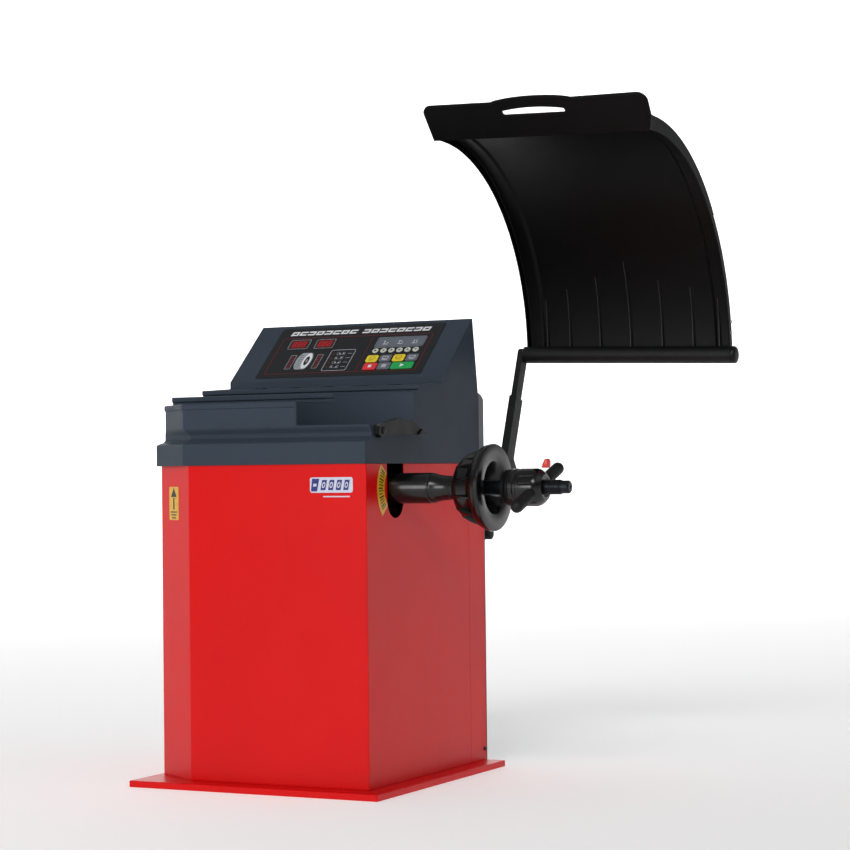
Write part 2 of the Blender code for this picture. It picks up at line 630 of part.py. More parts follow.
def belt_loop(extra):
    """Outline in (y, z) of a loop round both pulleys, standing off their rims."""
    low = Vector((MOTOR_Y, MOTOR_Z))
    high = Vector((SPINDLE_Y, SPINDLE_Z))
    span = high - low
    lean = math.asin((SPINDLE_PULLEY_R - MOTOR_PULLEY_R) / span.length)
    course = math.atan2(span.y, span.x)
    quarter, steps = math.pi / 2, 16
    wraps = ((high, SPINDLE_PULLEY_R, course - quarter - lean, math.pi + 2 * lean),
             (low, MOTOR_PULLEY_R, course + quarter + lean, math.pi - 2 * lean))
    points = []
    for centre, radius, start, turn in wraps:
        for k in range(steps + 1):
            angle = start + turn * k / steps
            reach = radius + extra
            points.append((centre.x + reach * math.cos(angle), centre.y + reach * math.sin(angle)))
    return points


def make_belt():
    x0, x1 = PULLEY_X[0] + 0.004, PULLEY_X[1] - 0.004
    inner, outer = belt_loop(0.0006), belt_loop(0.0032)
    edges = ((x0, inner), (x0, outer), (x1, outer), (x1, inner))
    rings = [[(x, y, z) for y, z in loop] for x, loop in edges]
    add_object("drive_belt", finish_mesh(loft(rings, closed=True), "drive_belt"), "rubber")


def make_pedestal():
    """Welded column with the motor plate and the saddle that holds the housing on two sensors."""
    low = PLATE_THICK + GAP
    x0, x1, y0, y1 = 0.0665, 0.2065, SPINDLE_Y - 0.070, SPINDLE_Y + 0.070
    column = box("spindle_pedestal", (x0, y0, low), (x1, y1, 0.690), "zinc")
    wall = 0.005
    cut(column, box("hollow", (x0 + wall, y0 + wall, low - 0.01), (x1 - wall, y1 - wall, 0.70)))
    saddle = [(SPINDLE_Y - 0.075, 0.689), (SPINDLE_Y + 0.075, 0.689), (SPINDLE_Y + 0.075, 0.700),
              (SPINDLE_Y - 0.075, 0.700)]
    join(column, prism("saddle", saddle, "X", x0 - 0.003, x1 + 0.060))
    motor_plate = box("motor_plate", (x0 - 0.0065, y0 + 0.002, 0.440), (x0 + 0.001, 0.080, 0.560))
    cut(motor_plate, prism("shaft_hole", circle(0.012, 20, (MOTOR_Y, MOTOR_Z)), "X", 0.05, 0.08))
    join(column, motor_plate)
    for name, x in (("rear_force_sensor", 0.095), ("front_force_sensor", 0.235)):
        outline = circle(0.012, 20, (x, SPINDLE_Y))
        prism(name, outline, "Z", 0.7003, SPINDLE_Z - HOUSING_R - GAP, "steel")
    box("encoder_sensor", (0.049, SPINDLE_Y - 0.010, SPINDLE_Z + 0.0362),
        (0.0594, SPINDLE_Y + 0.010, SPINDLE_Z + 0.055), "black_plastic")


# ---- quick nut -------------------------------------------------------------------------------
def along_spoke(name, profile, turn, finish, segments=16):
    """Turn a profile of (distance, radius) about a spoke that leaves the spindle at an angle."""
    piece = turned(name, profile, finish, segments, (0.0, 0.0))
    spoke = Vector((0.0, math.cos(turn), math.sin(turn)))
    across = Vector((1.0, 0.0, 0.0))
    place = Matrix((spoke, across.cross(spoke), across)).transposed()
    if place.determinant() < 0:
        place = Matrix((spoke, -across.cross(spoke), across)).transposed()
    piece.data.transform(Matrix.Translation((GRIP_X, SPINDLE_Y, SPINDLE_Z)) @ place.to_4x4())
    return smooth(piece)


def make_quick_nut():
    """Pressure cup that slides, nut body with two grips that turns, and its release lever."""
    bore = SHAFT_R + 0.0006
    cup = [(0.6070, 0.041), (0.6100, 0.0435), (0.6180, 0.0435), (0.6200, 0.046), (0.6277, 0.046),
           (0.6277, bore), (0.6200, bore), (0.6200, 0.036), (0.6070, 0.036)]
    cup = smooth(turned("nut_pressure_cup", cup, "black_plastic", 28))
    x0, x1, r = NUT_FACE, NUT_END, NUT_R
    groove = x0 + 0.016
    body = [(x0, r), (groove - 0.004, r), (groove - 0.002, r - 0.0015), (groove + 0.002, r - 0.0015),
            (groove + 0.004, r), (x1 - 0.020, r), (x1 - 0.012, r - 0.003), (x1 - 0.002, r - 0.012),
            (x1, r - 0.015), (x1, bore), (x0, bore)]
    body = smooth(turned("quick_nut_body", body, "black_metal", 28))
    start, end = r + GAP, GRIP_REACH
    grip = [(start, 0.0), (start, 0.0130), (start + 0.006, 0.0130), (start + 0.008, GRIP_R),
            (end - 0.016, GRIP_R), (end - 0.007, 0.0132), (end - 0.002, 0.0080), (end, 0.0)]
    grips = [along_spoke("nut_grip_back", grip, GRIP_TURN, "rubber"),
             along_spoke("nut_grip_front", grip, GRIP_TURN + math.pi, "rubber")]
    hinge_at([cup, body] + grips, x0, SPINDLE_Y, SPINDLE_Z)
    foot = SPINDLE_Z + r + 0.001
    x, half = LEVER_X, LEVER_WIDTH / 2
    lever = [(x - 0.0030, foot + 0.0020), (x, foot), (x + 0.0130, foot - 0.0005),
             (x + 0.0170, foot + 0.0040), (x + 0.0165, foot + 0.0180), (x + 0.0130, foot + 0.0220),
             (x + 0.0080, foot + 0.0215), (x + 0.0040, foot + 0.0150)]
    lever = prism("nut_release_lever", lever, "Y", SPINDLE_Y - half, SPINDLE_Y + half, "lever_red")
    hinge_at([lever], x, SPINDLE_Y, foot)


# ---- distance gauge ---------------------------------------------------------------------------
def make_gauge():
    """Fixed guide tube, a rod that pulls out, and the arm that swings about the rod."""
    centre = (GAUGE_Y, GAUGE_Z)
    bore = GAUGE_ROD_R + 0.0004
    guide = [(0.060, 0.0095), (0.2990, 0.0095), (0.2990, bore), (0.060, bore)]
    smooth(turned("gauge_guide", guide, "zinc", 20, centre))
    rod = [(0.030, 0.0), (0.030, GAUGE_ROD_R), (0.3052, GAUGE_ROD_R), (0.3052, 0.0)]
    rod = smooth(turned("gauge_rod", rod, "steel", 20, centre))
    outline = [(-0.268, 0.884), (-0.264, 0.904), (-0.244, 0.910), (-0.164, 0.9245), (-0.146, 0.9225),
               (-0.127, 0.9165), (-0.086, 0.9195), (-0.076, 0.9170), (-0.019, 0.8900), (-0.022, 0.8850),
               (-0.060, 0.8840), (-0.180, 0.8840), (-0.236, 0.8760), (-0.254, 0.8755)]
    arm = prism("gauge_arm", outline, "X", 0.3055, 0.3195, "black_plastic")
    tip = [(-0.060, 0.8845), (-0.022, 0.8855), (-0.020, 0.8900), (-0.040, 0.8990)]
    join(arm, prism("tip", tip, "X", 0.3100, 0.3240))
    hinge_at([rod, arm], 0.3055, *centre)


# ---- wheel guard --------------------------------------------------------------------------------
def droop(pieces):
    """Lower the guard and its rail steadily towards the free end, with their ends still upright."""
    start = Matrix.Translation((RAIL_START, RAIL_Y, RAIL_Z))
    slant = Matrix.Identity(4)
    slant[2][0] = -math.tan(GUARD_DROOP)
    for piece in pieces:
        piece.data.transform(start @ slant @ start.inverted())


def guard_section():
    """Cross-section of the shell as (x, radius): flanges at both sides and a raised middle."""
    left, right, wall = GUARD_LEFT, GUARD_RIGHT, GUARD_WALL
    border, rise = 0.040, 0.006
    outer = [(left, GUARD_R), (left, GUARD_SKIN_R), (left + border, GUARD_SKIN_R),
             (left + border + rise, GUARD_SKIN_R + rise)]
    step = left + border + wall / 2
    inner = [(left + wall, GUARD_R), (left + wall, GUARD_SKIN_R - wall),
             (step, GUARD_SKIN_R - wall), (step + rise, GUARD_SKIN_R + rise - wall)]

    def mirrored(points):
        return [(left + right - x, r) for x, r in reversed(points)]
    return outer + mirrored(outer) + list(reversed(inner + mirrored(inner)))


def make_guard_shell():
    """Curved shell round the wheel, with an upturned front lip that has a hand slot."""
    centre = (RAIL_Y - GUARD_R, RAIL_Z)
    steps, start, end = 30, math.radians(-0.8), math.radians(96.5)
    rings = []
    for k in range(steps + 1):
        turn = start + (end - start) * k / steps
        rings.append([(x, *on_arc(centre, r, turn)) for x, r in guard_section()])
    shell = add_object("guard_shell", finish_mesh(loft(rings), "guard_shell"), "black_plastic")
    seat = circle(RAIL_R + GAP, 24, (RAIL_Y, RAIL_Z))
    cut(shell, prism("rail_seat", seat, "X", GUARD_LEFT - 0.02, GUARD_RIGHT + 0.05))
    along = Vector((-math.cos(LIP_LEAN), math.sin(LIP_LEAN)))
    out = Vector((-along.y, along.x))
    foot = Vector(LIP_FOOT)
    low, high, beyond = foot - along * 0.05, foot + along * 0.15, out * 0.1
    trim = [low, high, high + beyond, low + beyond]
    cut(shell, prism("lip_trim", [tuple(p) for p in trim], "X", GUARD_LEFT - 0.02, GUARD_RIGHT + 0.02))
    join(shell, make_lip(foot, along, out))
    for x in (GUARD_LEFT, GUARD_RIGHT - GUARD_WALL):
        join(shell, make_cheek(x, centre, foot, along, out))
    return shell


def make_cheek(x, centre, foot, along, out):
    """Side wall that deepens towards the lip and fills the corner behind it."""
    outline = [tuple(foot + along * share - out * 0.001) for share in (0.004, 0.062)]
    steps, start, reach, depth = 10, math.radians(93), math.radians(52), 0.013
    for k in range(1, steps + 1):
        radius = GUARD_SKIN_R - 0.001 + depth * (1 - k / steps)
        outline.append(on_arc(centre, radius, start - reach * k / steps))
    inside = GUARD_SKIN_R - 0.006
    outline += [on_arc(centre, inside, start - reach * k / steps) for k in range(steps, -1, -1)]
    return prism("cheek", outline, "X", x, x + GUARD_WALL)


def on_arc(centre, radius, turn):
    """The point at an angle on a circle."""
    return (centre[0] + radius * math.cos(turn), centre[1] + radius * math.sin(turn))


def make_lip(foot, along, out):
    """Front lip in its own plane (x, distance up the lip), then laid on its slope."""
    left, right, corner = GUARD_LEFT, GUARD_RIGHT + LIP_FLARE, 0.025
    low, high = LIP_LENGTH
    outline = [(left, 0.0), (left, low - corner)]
    for k in range(1, 6):
        turn = math.radians(180 - 90 * k / 5)
        outline.append((left + corner + corner * math.cos(turn), low - corner + corner * math.sin(turn)))
    half, rise, steps = 0.108, 0.012, 10
    for k in range(steps + 1):
        share = -1 + 2 * k / steps
        x = SLOT_X + half * share
        length = low + (high - low) * max(0.0, x - LIP_RISE_FROM) / (right - LIP_RISE_FROM)
        outline.append((x, length + rise * (1 - share ** 2) ** 0.75))
    for k in range(6):
        turn = math.radians(90 - 90 * k / 5)
        x, up = right - corner + corner * math.cos(turn), high - corner + corner * math.sin(turn)
        outline.append((x, up))
    outline += [(right - 0.003, 0.045), (GUARD_RIGHT, 0.0)]
    lip = prism("lip", outline, "Z", -0.0002, GUARD_WALL - 0.0002)
    slot = rounded(*HAND_SLOT, HAND_SLOT[1] / 2 - 0.0005, 5, (SLOT_X, SLOT_UP))
    cut(lip, prism("hand_slot", slot, "Z", -0.02, 0.02))
    turn = Matrix(((1.0, 0.0, 0.0), (0.0, along.x, along.y), (0.0, -out.x, -out.y))).transposed()
    place = Matrix.Translation((0.0, foot.x, foot.y)) @ turn.to_4x4()
    lip.data.transform(place)
    if turn.determinant() < 0:
        lip.data.flip_normals()
    return lip


def make_guard_arm():
    """Lower sleeve with its foot on the pivot shaft, and the tube above it."""
    pivot = Vector((PIVOT_Y, PIVOT_Z))
    top = Vector((RAIL_Y, RAIL_Z))
    along = (top - pivot).normalized()
    side = Vector((along.y, -along.x))

    def strip(start, end, half):
        a, b = pivot + along * start, pivot + along * end
        return [tuple(p) for p in (a - side * half, a + side * half, b + side * half, b - side * half)]
    def slab(name, outline, half):
        return prism(name, outline, "X", ARM_X - half, ARM_X + half, "black_metal")
    sleeve = slab("guard_arm", strip(0.0, SLEEVE_LENGTH, 0.021), 0.0110)
    join(sleeve, slab("boss", circle(0.036, 24, tuple(pivot)), BOSS_HALF))
    foot = [pivot + side * 0.034, pivot + along * 0.085 + side * 0.082,
            pivot + along * 0.112 + side * 0.074, pivot + along * 0.150 + side * 0.019, pivot + along * 0.02]
    join(sleeve, prism("foot", [tuple(p) for p in foot], "X", ARM_X - 0.0060, ARM_X + 0.0065))
    cut(sleeve, slab("pocket", strip(SLEEVE_LENGTH - 0.020, SLEEVE_LENGTH + 0.020, 0.0173), 0.0083))
    tube = slab("guard_arm_tube", strip(SLEEVE_LENGTH - 0.0195, (top - pivot).length, 0.017), 0.0080)
    join(tube, slab("head", circle(0.0180, 24, tuple(top)), 0.0079))
    return sleeve, tube


def make_guard():
    """Everything that swings with the guard, hinged on the pivot line."""
    sleeve, tube = make_guard_arm()
    end, wall = RAIL_END - 0.0140, 0.004
    rail = [(RAIL_START, 0.0), (RAIL_START, RAIL_R), (end - GAP, RAIL_R), (end - GAP, RAIL_R - wall),
            (RAIL_START + wall, RAIL_R - wall), (RAIL_START + wall, 0.0)]
    rail = smooth(turned("guard_rail", rail, "black_metal", 24, (RAIL_Y, RAIL_Z)))
    cap = [(end, 0.0), (end, RAIL_R), (RAIL_END - 0.006, RAIL_R - 0.0005),
           (RAIL_END - 0.0015, RAIL_R - 0.005), (RAIL_END, RAIL_R - 0.012), (RAIL_END, 0.0)]
    cap = smooth(turned("rail_end_cap", cap, "black_plastic", 24, (RAIL_Y, RAIL_Z)))
    shell = make_guard_shell()
    droop([rail, cap, shell])
    start, end = PIVOT_START, ARM_X - BOSS_HALF - GAP
    shaft = [(start, 0.0), (start, PIVOT_R), (end, PIVOT_R), (end, 0.0)]
    shaft = smooth(turned("guard_pivot_shaft", shaft, "steel", 24, (PIVOT_Y, PIVOT_Z)))
    hinge_at([sleeve, tube, rail, cap, shell, shaft], ARM_X, PIVOT_Y, PIVOT_Z)


def make_guard_bracket():
    """Plate on the back with two bearing ears, and the spring and its peg between and below."""
    plate_back = CABINET_BACK + GAP
    low, high = (0.112, plate_back, 0.604), (0.301, plate_back + 0.006, 0.780)
    bracket = box("guard_bracket", low, high, "black_metal")
    bore = PIVOT_R + 0.0004
    for x in BRACKET_EARS:
        outline = [(plate_back + 0.003, PIVOT_Z - 0.030), (PIVOT_Y, PIVOT_Z - 0.030)]
        for k in range(13):
            turn = math.radians(-90 + 180 * k / 12)
            outline.append((PIVOT_Y + 0.030 * math.cos(turn), PIVOT_Z + 0.030 * math.sin(turn)))
        outline.append((plate_back + 0.003, PIVOT_Z + 0.030))
        join(bracket, prism("ear", outline, "X", x, x + EAR_WIDTH))
    cut(bracket, prism("bore", circle(bore, 32, (PIVOT_Y, PIVOT_Z)), "X", 0.10, 0.31))
    peg_y = PIVOT_Y + 0.002
    lug = [(plate_back + 0.003, 0.606), (peg_y, 0.606), (peg_y, 0.636), (plate_back + 0.003, 0.650)]
    join(bracket, prism("lug", lug, "X", 0.276, 0.2845))
    peg = [(0.2848, 0.0), (0.2848, 0.015), (0.3080, 0.015), (0.3110, 0.012), (0.3110, 0.0)]
    smooth(turned("guard_stop", peg, "rubber", 20, (peg_y, 0.621)))
    make_spring()


def make_spring():
    """Torsion spring wound round the pivot shaft between the ears."""
    turns, wire, radius = 9, 0.0022, 0.0190
    per_turn, sides = 12, 5
    start = BRACKET_EARS[0] + EAR_WIDTH + 0.004
    length = BRACKET_EARS[1] - 0.004 - start
    rings = []
    count = turns * per_turn
    for k in range(count + 1):
        turn = 2 * math.pi * k / per_turn
        x = start + length * k / count
        ring = []
        for j in range(sides):
            around = 2 * math.pi * j / sides
            y, z = on_arc((PIVOT_Y, PIVOT_Z), radius + wire * math.cos(around), turn)
            ring.append((x + wire * math.sin(around), y, z))
        rings.append(ring)
    smooth(add_object("guard_spring", finish_mesh(loft(rings), "guard_spring"), "steel"), 60)


def build():
    for existing in list(bpy.data.objects):
        bpy.data.objects.remove(existing)
    make_base()
    make_front_panel()
    make_right_panel()
    make_rear_posts()
    make_rear_cover()
    make_power_inlet()
    make_power_switch()
    make_side_screw()
    make_top_cover()
    make_control_panel()
    make_boards()
    make_pedestal()
    make_housing()
    make_spindle()
    make_drive()
    make_quick_nut()
    make_gauge()
    make_guard_bracket()
    make_guard()


build()
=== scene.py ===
"""Looks of the wheel balancer: fine surfaces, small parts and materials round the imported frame.

Metres, +Z up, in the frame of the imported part: the origin is under the base plate's centre,
+X runs along the spindle towards its free end, and -Y faces the operator.
"""
import json
import math

import bmesh
import bpy
from mathutils import Matrix, Vector

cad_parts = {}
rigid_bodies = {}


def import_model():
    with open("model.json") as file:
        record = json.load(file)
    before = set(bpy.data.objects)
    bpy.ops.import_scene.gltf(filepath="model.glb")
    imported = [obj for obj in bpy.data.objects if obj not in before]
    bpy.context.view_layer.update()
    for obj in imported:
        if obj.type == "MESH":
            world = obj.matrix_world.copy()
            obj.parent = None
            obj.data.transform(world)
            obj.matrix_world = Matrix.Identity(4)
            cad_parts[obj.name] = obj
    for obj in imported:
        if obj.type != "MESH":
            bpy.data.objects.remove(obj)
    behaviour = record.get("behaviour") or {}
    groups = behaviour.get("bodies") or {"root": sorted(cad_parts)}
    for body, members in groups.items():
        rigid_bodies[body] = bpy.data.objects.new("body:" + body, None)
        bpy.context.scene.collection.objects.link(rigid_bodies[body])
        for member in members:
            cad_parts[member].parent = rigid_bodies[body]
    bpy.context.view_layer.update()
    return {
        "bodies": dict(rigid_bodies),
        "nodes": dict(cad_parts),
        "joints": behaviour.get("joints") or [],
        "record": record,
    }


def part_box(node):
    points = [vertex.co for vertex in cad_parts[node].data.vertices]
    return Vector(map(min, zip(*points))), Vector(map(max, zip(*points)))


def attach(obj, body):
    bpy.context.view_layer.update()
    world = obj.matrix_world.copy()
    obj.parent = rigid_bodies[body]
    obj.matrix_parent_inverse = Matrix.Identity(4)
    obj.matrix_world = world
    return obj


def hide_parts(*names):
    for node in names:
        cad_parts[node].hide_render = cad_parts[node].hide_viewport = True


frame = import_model()
NODES = frame["nodes"]

GAP = 0.0003                    # between a laid-on piece and what it lies on

# ---- places read from the frame ---------------------------------------------------------------
SHAFT_LOW, SHAFT_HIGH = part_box("spindle_shaft")
SPINDLE_Y = (SHAFT_LOW.y + SHAFT_HIGH.y) / 2
SPINDLE_Z = (SHAFT_LOW.z + SHAFT_HIGH.z) / 2
SHAFT_R = (SHAFT_HIGH.z - SHAFT_LOW.z) / 2
SHAFT_END = SHAFT_HIGH.x
HUB_LOW, HUB_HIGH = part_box("flange_hub")
FRONT_LOW, FRONT_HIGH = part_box("cabinet_front_panel")
SIDE_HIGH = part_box("cabinet_right_panel")[1]
COVER_LOW, COVER_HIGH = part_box("top_cover")
REAR_LOW, REAR_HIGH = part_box("rear_cover")
RAIL_LOW, RAIL_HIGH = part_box("guard_rail")
SHELL_LOW, SHELL_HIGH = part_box("guard_shell")
NUT_LOW, NUT_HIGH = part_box("quick_nut_body")
BRACKET_LOW, BRACKET_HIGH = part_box("guard_bracket")

LEFT = FRONT_LOW.x              # cabinet
RIGHT = SIDE_HIGH.x
FRONT = FRONT_LOW.y
CABINET_TOP = SIDE_HIGH.z
CHAMFER = (0.136, 0.083)        # front left corner, along X and Y
SEAM_Y = SIDE_HIGH.y

COVER_WALL = 0.0032             # top cover
COVER_RIGHT = COVER_HIGH.x
COVER_BACK = COVER_HIGH.y
SKIRT_LEFT = COVER_LOW.x
SKIRT_FRONT = COVER_LOW.y
SKIRT_TOP = 0.868
NOSE_FRONT = -0.292
NOSE_NECK = -0.278
NOSE_TOP = 0.969
NOSE_CHAMFER = 0.108
RECESS_FLOOR = 0.908
RECESS_RADIUS = 0.2600
RECESS_CENTRE = (0.358, -0.306)
DECK_ONE = (-0.170, 0.992)      # front edge in Y, height in Z
DECK_TWO = (-0.022, 1.013)
DECK_THREE = (0.122, 1.022)
PANEL_LOW = (0.122, 1.040)      # ends of the sloping control face
PANEL_HIGH = (0.303, COVER_HIGH.z)
BIN_ROWS = ((4, (-0.238, 0.086), (-0.281, -0.180), 0.918, NOSE_TOP),
            (5, (-0.322, 0.128), (-0.158, -0.036), 0.950, DECK_ONE[1]),
            (6, (-0.322, 0.286), (-0.008, 0.108), 0.972, DECK_TWO[1]))
BIN_DIVIDER = 0.006
GAUGE_CENTRE = (-0.244, 0.893)  # axis of the gauge rod, (y, z)

RAIL_Y = (RAIL_LOW.y + RAIL_HIGH.y) / 2
RAIL_R = (RAIL_HIGH.y - RAIL_LOW.y) / 2
RAIL_Z = RAIL_HIGH.z - RAIL_R
RAIL_START = RAIL_LOW.x
GUARD_DROOP = math.radians(1.8)
GUARD_LEFT = SHELL_LOW.x
LIP_FLARE = 0.018
GUARD_RIGHT = SHELL_HIGH.x - LIP_FLARE
GUARD_R = 0.527
GUARD_SKIN_R = 0.552
GUARD_WALL = 0.004
GUARD_CENTRE = (RAIL_Y - GUARD_R, RAIL_Z)
LIP_FOOT = (-0.009, 1.633)
LIP_LEAN = math.radians(46.5)
LIP_LENGTH = (0.107, 0.114)
SLOT_X = 0.650
LIP_RISE_FROM = 0.540           # the lip gets longer from here on to the right


# ---- materials --------------------------------------------------------------------------------
def linear(red, green, blue):
    """Linear colour of an sRGB one given in 0 to 255."""
    return tuple((c / 255) ** 2.2 for c in (red, green, blue))


def material(name, colour, roughness, metallic=0.0, mottle=0.10, mottle_size=7.0, grain=0.0, grain_size=900.0,
             wear=0.0, brushed=None, coat=0.0, glow=0.0, specular=0.5, uneven=0.10):
    """A procedural finish.

    mottle is how much the colour wanders over patches of mottle_size per metre, grain is how
    steep a fine relief of grain_size per metre is, wear lightens scattered spots, uneven is how
    much the gloss wanders, and brushed names the axis that fine scratches run round.
    """
    made = bpy.data.materials.new(name)
    made.use_nodes = True
    tree = made.node_tree
    shader = tree.nodes["Principled BSDF"]
    shader.inputs["Metallic"].default_value = metallic
    shader.inputs["Coat Weight"].default_value = coat
    shader.inputs["Coat Roughness"].default_value = 0.12
    shader.inputs["Specular IOR Level"].default_value = specular
    place = tree.nodes.new("ShaderNodeTexCoord").outputs["Object"]

    def noise(scale, detail=3.0, vector=place):
        node = tree.nodes.new("ShaderNodeTexNoise")
        node.inputs["Scale"].default_value = scale
        node.inputs["Detail"].default_value = detail
        tree.links.new(vector, node.inputs["Vector"])
        return node.outputs["Fac"]

    def span(value, low, high, start=0.35, stop=0.65):
        node = tree.nodes.new("ShaderNodeMapRange")
        node.inputs["From Min"].default_value = start
        node.inputs["From Max"].default_value = stop
        node.inputs["To Min"].default_value = low
        node.inputs["To Max"].default_value = high
        tree.links.new(value, node.inputs["Value"])
        return node.outputs["Result"]

    def mixed(share, first, second):
        node = tree.nodes.new("ShaderNodeMix")
        node.data_type = "RGBA"
        tree.links.new(share, node.inputs["Factor"])
        for socket, tone in (("A", first), ("B", second)):
            target = next(s for s in node.inputs if s.name == socket and s.type == "RGBA")
            if isinstance(tone, tuple):
                target.default_value = (*tone, 1.0)
            else:
                tree.links.new(tone, target)
        return next(s for s in node.outputs if s.type == "RGBA")

    darker = tuple(c * (1 - mottle) for c in colour)
    lighter = tuple(min(1.0, c * (1 + mottle)) for c in colour)
    tone = mixed(span(noise(mottle_size), 0.0, 1.0), darker, lighter)
    gloss = span(noise(mottle_size * 3.1), max(0.02, roughness * (1 - uneven)),
                 min(1.0, roughness * (1 + uneven)))
    if wear:
        scuffs = span(noise(mottle_size * 9.0, 8.0), 0.0, wear, 0.60, 0.74)
        tone = mixed(scuffs, tone, tuple(min(1.0, c * 1.5 + 0.05) for c in colour))
    tree.links.new(tone, shader.inputs["Base Color"])
    tree.links.new(gloss, shader.inputs["Roughness"])
    if glow:
        tree.links.new(tone, shader.inputs["Emission Color"])
        shader.inputs["Emission Strength"].default_value = glow
    vector = place
    if brushed is not None:
        stretch = tree.nodes.new("ShaderNodeMapping")
        stretch.inputs["Scale"].default_value = tuple(1.0 if axis == brushed else 0.03 for axis in range(3))
        tree.links.new(place, stretch.inputs["Vector"])
        vector = stretch.outputs["Vector"]
    if grain:
        bump = tree.nodes.new("ShaderNodeBump")
        bump.inputs["Distance"].default_value = grain / grain_size
        bump.inputs["Strength"].default_value = 1.0
        tree.links.new(noise(grain_size, 2.0, vector), bump.inputs["Height"])
        tree.links.new(bump.outputs["Normal"], shader.inputs["Normal"])
    return made


# look: record's slot, then the material
LOOKS = {
    "red_paint": ("red_paint", dict(colour=linear(212, 9, 12), roughness=0.36, mottle=0.03, mottle_size=3.0,
                                    grain=0.03, grain_size=420.0, specular=0.24, uneven=0.05)),
    "cover": ("cover_plastic", dict(colour=linear(58, 66, 76), roughness=0.44, mottle=0.04, mottle_size=6.0,
                                    grain=0.10, grain_size=1500.0, specular=0.10, uneven=0.05)),
    "hood": ("black_plastic", dict(colour=linear(9, 9, 10), roughness=0.42, mottle=0.12, mottle_size=6.0,
                                   grain=0.12, grain_size=1300.0, specular=0.14, uneven=0.05)),
    # lighter copy of the hood's black plastic for the ribs: a painted highlight along the rib edges, not a
    # different plastic
    "hood_rib_painted_highlight": ("black_plastic", dict(colour=linear(34, 34, 36), roughness=0.36, mottle=0.10,
                                       mottle_size=30.0,
                                       grain=0.10, grain_size=1300.0, specular=0.40)),
    "black_plastic": ("black_plastic", dict(colour=linear(17, 17, 18), roughness=0.40, mottle=0.12,
                                            grain=0.10, grain_size=1600.0, specular=0.22)),
    "black_enamel": ("black_metal", dict(colour=linear(11, 12, 13), roughness=0.24, mottle=0.12,
                                         mottle_size=20.0, grain=0.05, grain_size=520.0, coat=0.2,
                                         specular=0.40, wear=0.02)),
    "powder_black": ("black_metal", dict(colour=linear(20, 21, 22), roughness=0.46, mottle=0.10,
                                         mottle_size=20.0, grain=0.10, grain_size=900.0, specular=0.26)),
    "blued_steel": ("black_metal", dict(colour=linear(44, 46, 50), roughness=0.32, metallic=0.8, mottle=0.20,
                                        mottle_size=38.0, grain=0.08, grain_size=2200.0, brushed=0,
                                        wear=0.20)),
    "steel": ("steel", dict(colour=linear(186, 187, 190), roughness=0.28, metallic=1.0, mottle=0.06,
                            mottle_size=60.0, grain=0.06, grain_size=2600.0, brushed=0)),
    "zinc": ("zinc", dict(colour=linear(168, 170, 166), roughness=0.42, metallic=1.0, mottle=0.12,
                          mottle_size=90.0, grain=0.10, grain_size=900.0)),
    "grey_sheet": ("grey_sheet", dict(colour=linear(104, 106, 109), roughness=0.50, mottle=0.04,
                                      mottle_size=6.0,
                                      grain=0.08, grain_size=620.0)),
    "rubber": ("rubber", dict(colour=linear(17, 17, 18), roughness=0.58, mottle=0.12, mottle_size=50.0,
                              grain=0.12, grain_size=1200.0, specular=0.35)),
    "membrane": ("membrane", dict(colour=linear(30, 32, 35), roughness=0.38, mottle=0.06, mottle_size=20.0,
                                  grain=0.05, grain_size=2400.0, specular=0.35)),
    "window": ("red_window", dict(colour=linear(118, 16, 24), roughness=0.14, mottle=0.10, mottle_size=60.0,
                                  specular=0.4)),
    "segment": ("red_window", dict(colour=linear(188, 44, 50), roughness=0.25, mottle=0.05, mottle_size=90.0,
                                   glow=0.08)),
    "key_white": ("key_white", dict(colour=linear(196, 200, 188), roughness=0.36, mottle=0.04,
                                    mottle_size=80.0,
                                    grain=0.04, grain_size=2600.0)),
    "key_grey": ("key_grey", dict(colour=linear(96, 102, 112), roughness=0.38, mottle=0.05, mottle_size=80.0,
                                  grain=0.04, grain_size=2600.0)),
    "key_yellow": ("key_yellow", dict(colour=linear(232, 206, 44), roughness=0.36, mottle=0.04,
                                      mottle_size=80.0,
                                      grain=0.04, grain_size=2600.0)),
    "key_red": ("key_red", dict(colour=linear(218, 52, 58), roughness=0.36, mottle=0.04, mottle_size=80.0,
                                grain=0.04, grain_size=2600.0)),
    "key_green": ("key_green", dict(colour=linear(30, 160, 82), roughness=0.36, mottle=0.04, mottle_size=80.0,
                                    grain=0.04, grain_size=2600.0)),
    "lever_red": ("lever_red", dict(colour=linear(214, 40, 28), roughness=0.30, mottle=0.06, mottle_size=60.0,
                                    grain=0.03, grain_size=900.0, coat=0.2)),
    "print_white": ("key_white", dict(colour=linear(222, 224, 226), roughness=0.42, mottle=0.03,
                                      mottle_size=120.0)),
    "print_grey": ("key_grey", dict(colour=linear(150, 155, 162), roughness=0.42, mottle=0.05,
                                    mottle_size=90.0)),
    "print_red": ("red_window", dict(colour=linear(112, 26, 32), roughness=0.42, mottle=0.08,
                                     mottle_size=90.0)),
    "print_dark": ("membrane", dict(colour=linear(22, 24, 27), roughness=0.42, mottle=0.08,
                                    mottle_size=90.0, specular=0.35)),
    "label_yellow": ("key_yellow", dict(colour=linear(218, 168, 40), roughness=0.40, mottle=0.06,
                                        mottle_size=60.0, coat=0.1)),
    "badge_blue": ("key_grey", dict(colour=linear(44, 48, 118), roughness=0.30, mottle=0.06,
                                    mottle_size=60.0, coat=0.2)),
    "badge_silver": ("steel", dict(colour=linear(206, 208, 226), roughness=0.30, metallic=0.2, mottle=0.04,
                                   mottle_size=90.0)),
    "circuit": ("circuit", dict(colour=linear(22, 96, 52), roughness=0.40, mottle=0.20, mottle_size=160.0)),
}
MADE = {}


def look(name):
    """The finish with this name, made when it is first asked for."""
    if name not in MADE:
        MADE[name] = material(name, **LOOKS[name][1])
    return MADE[name]


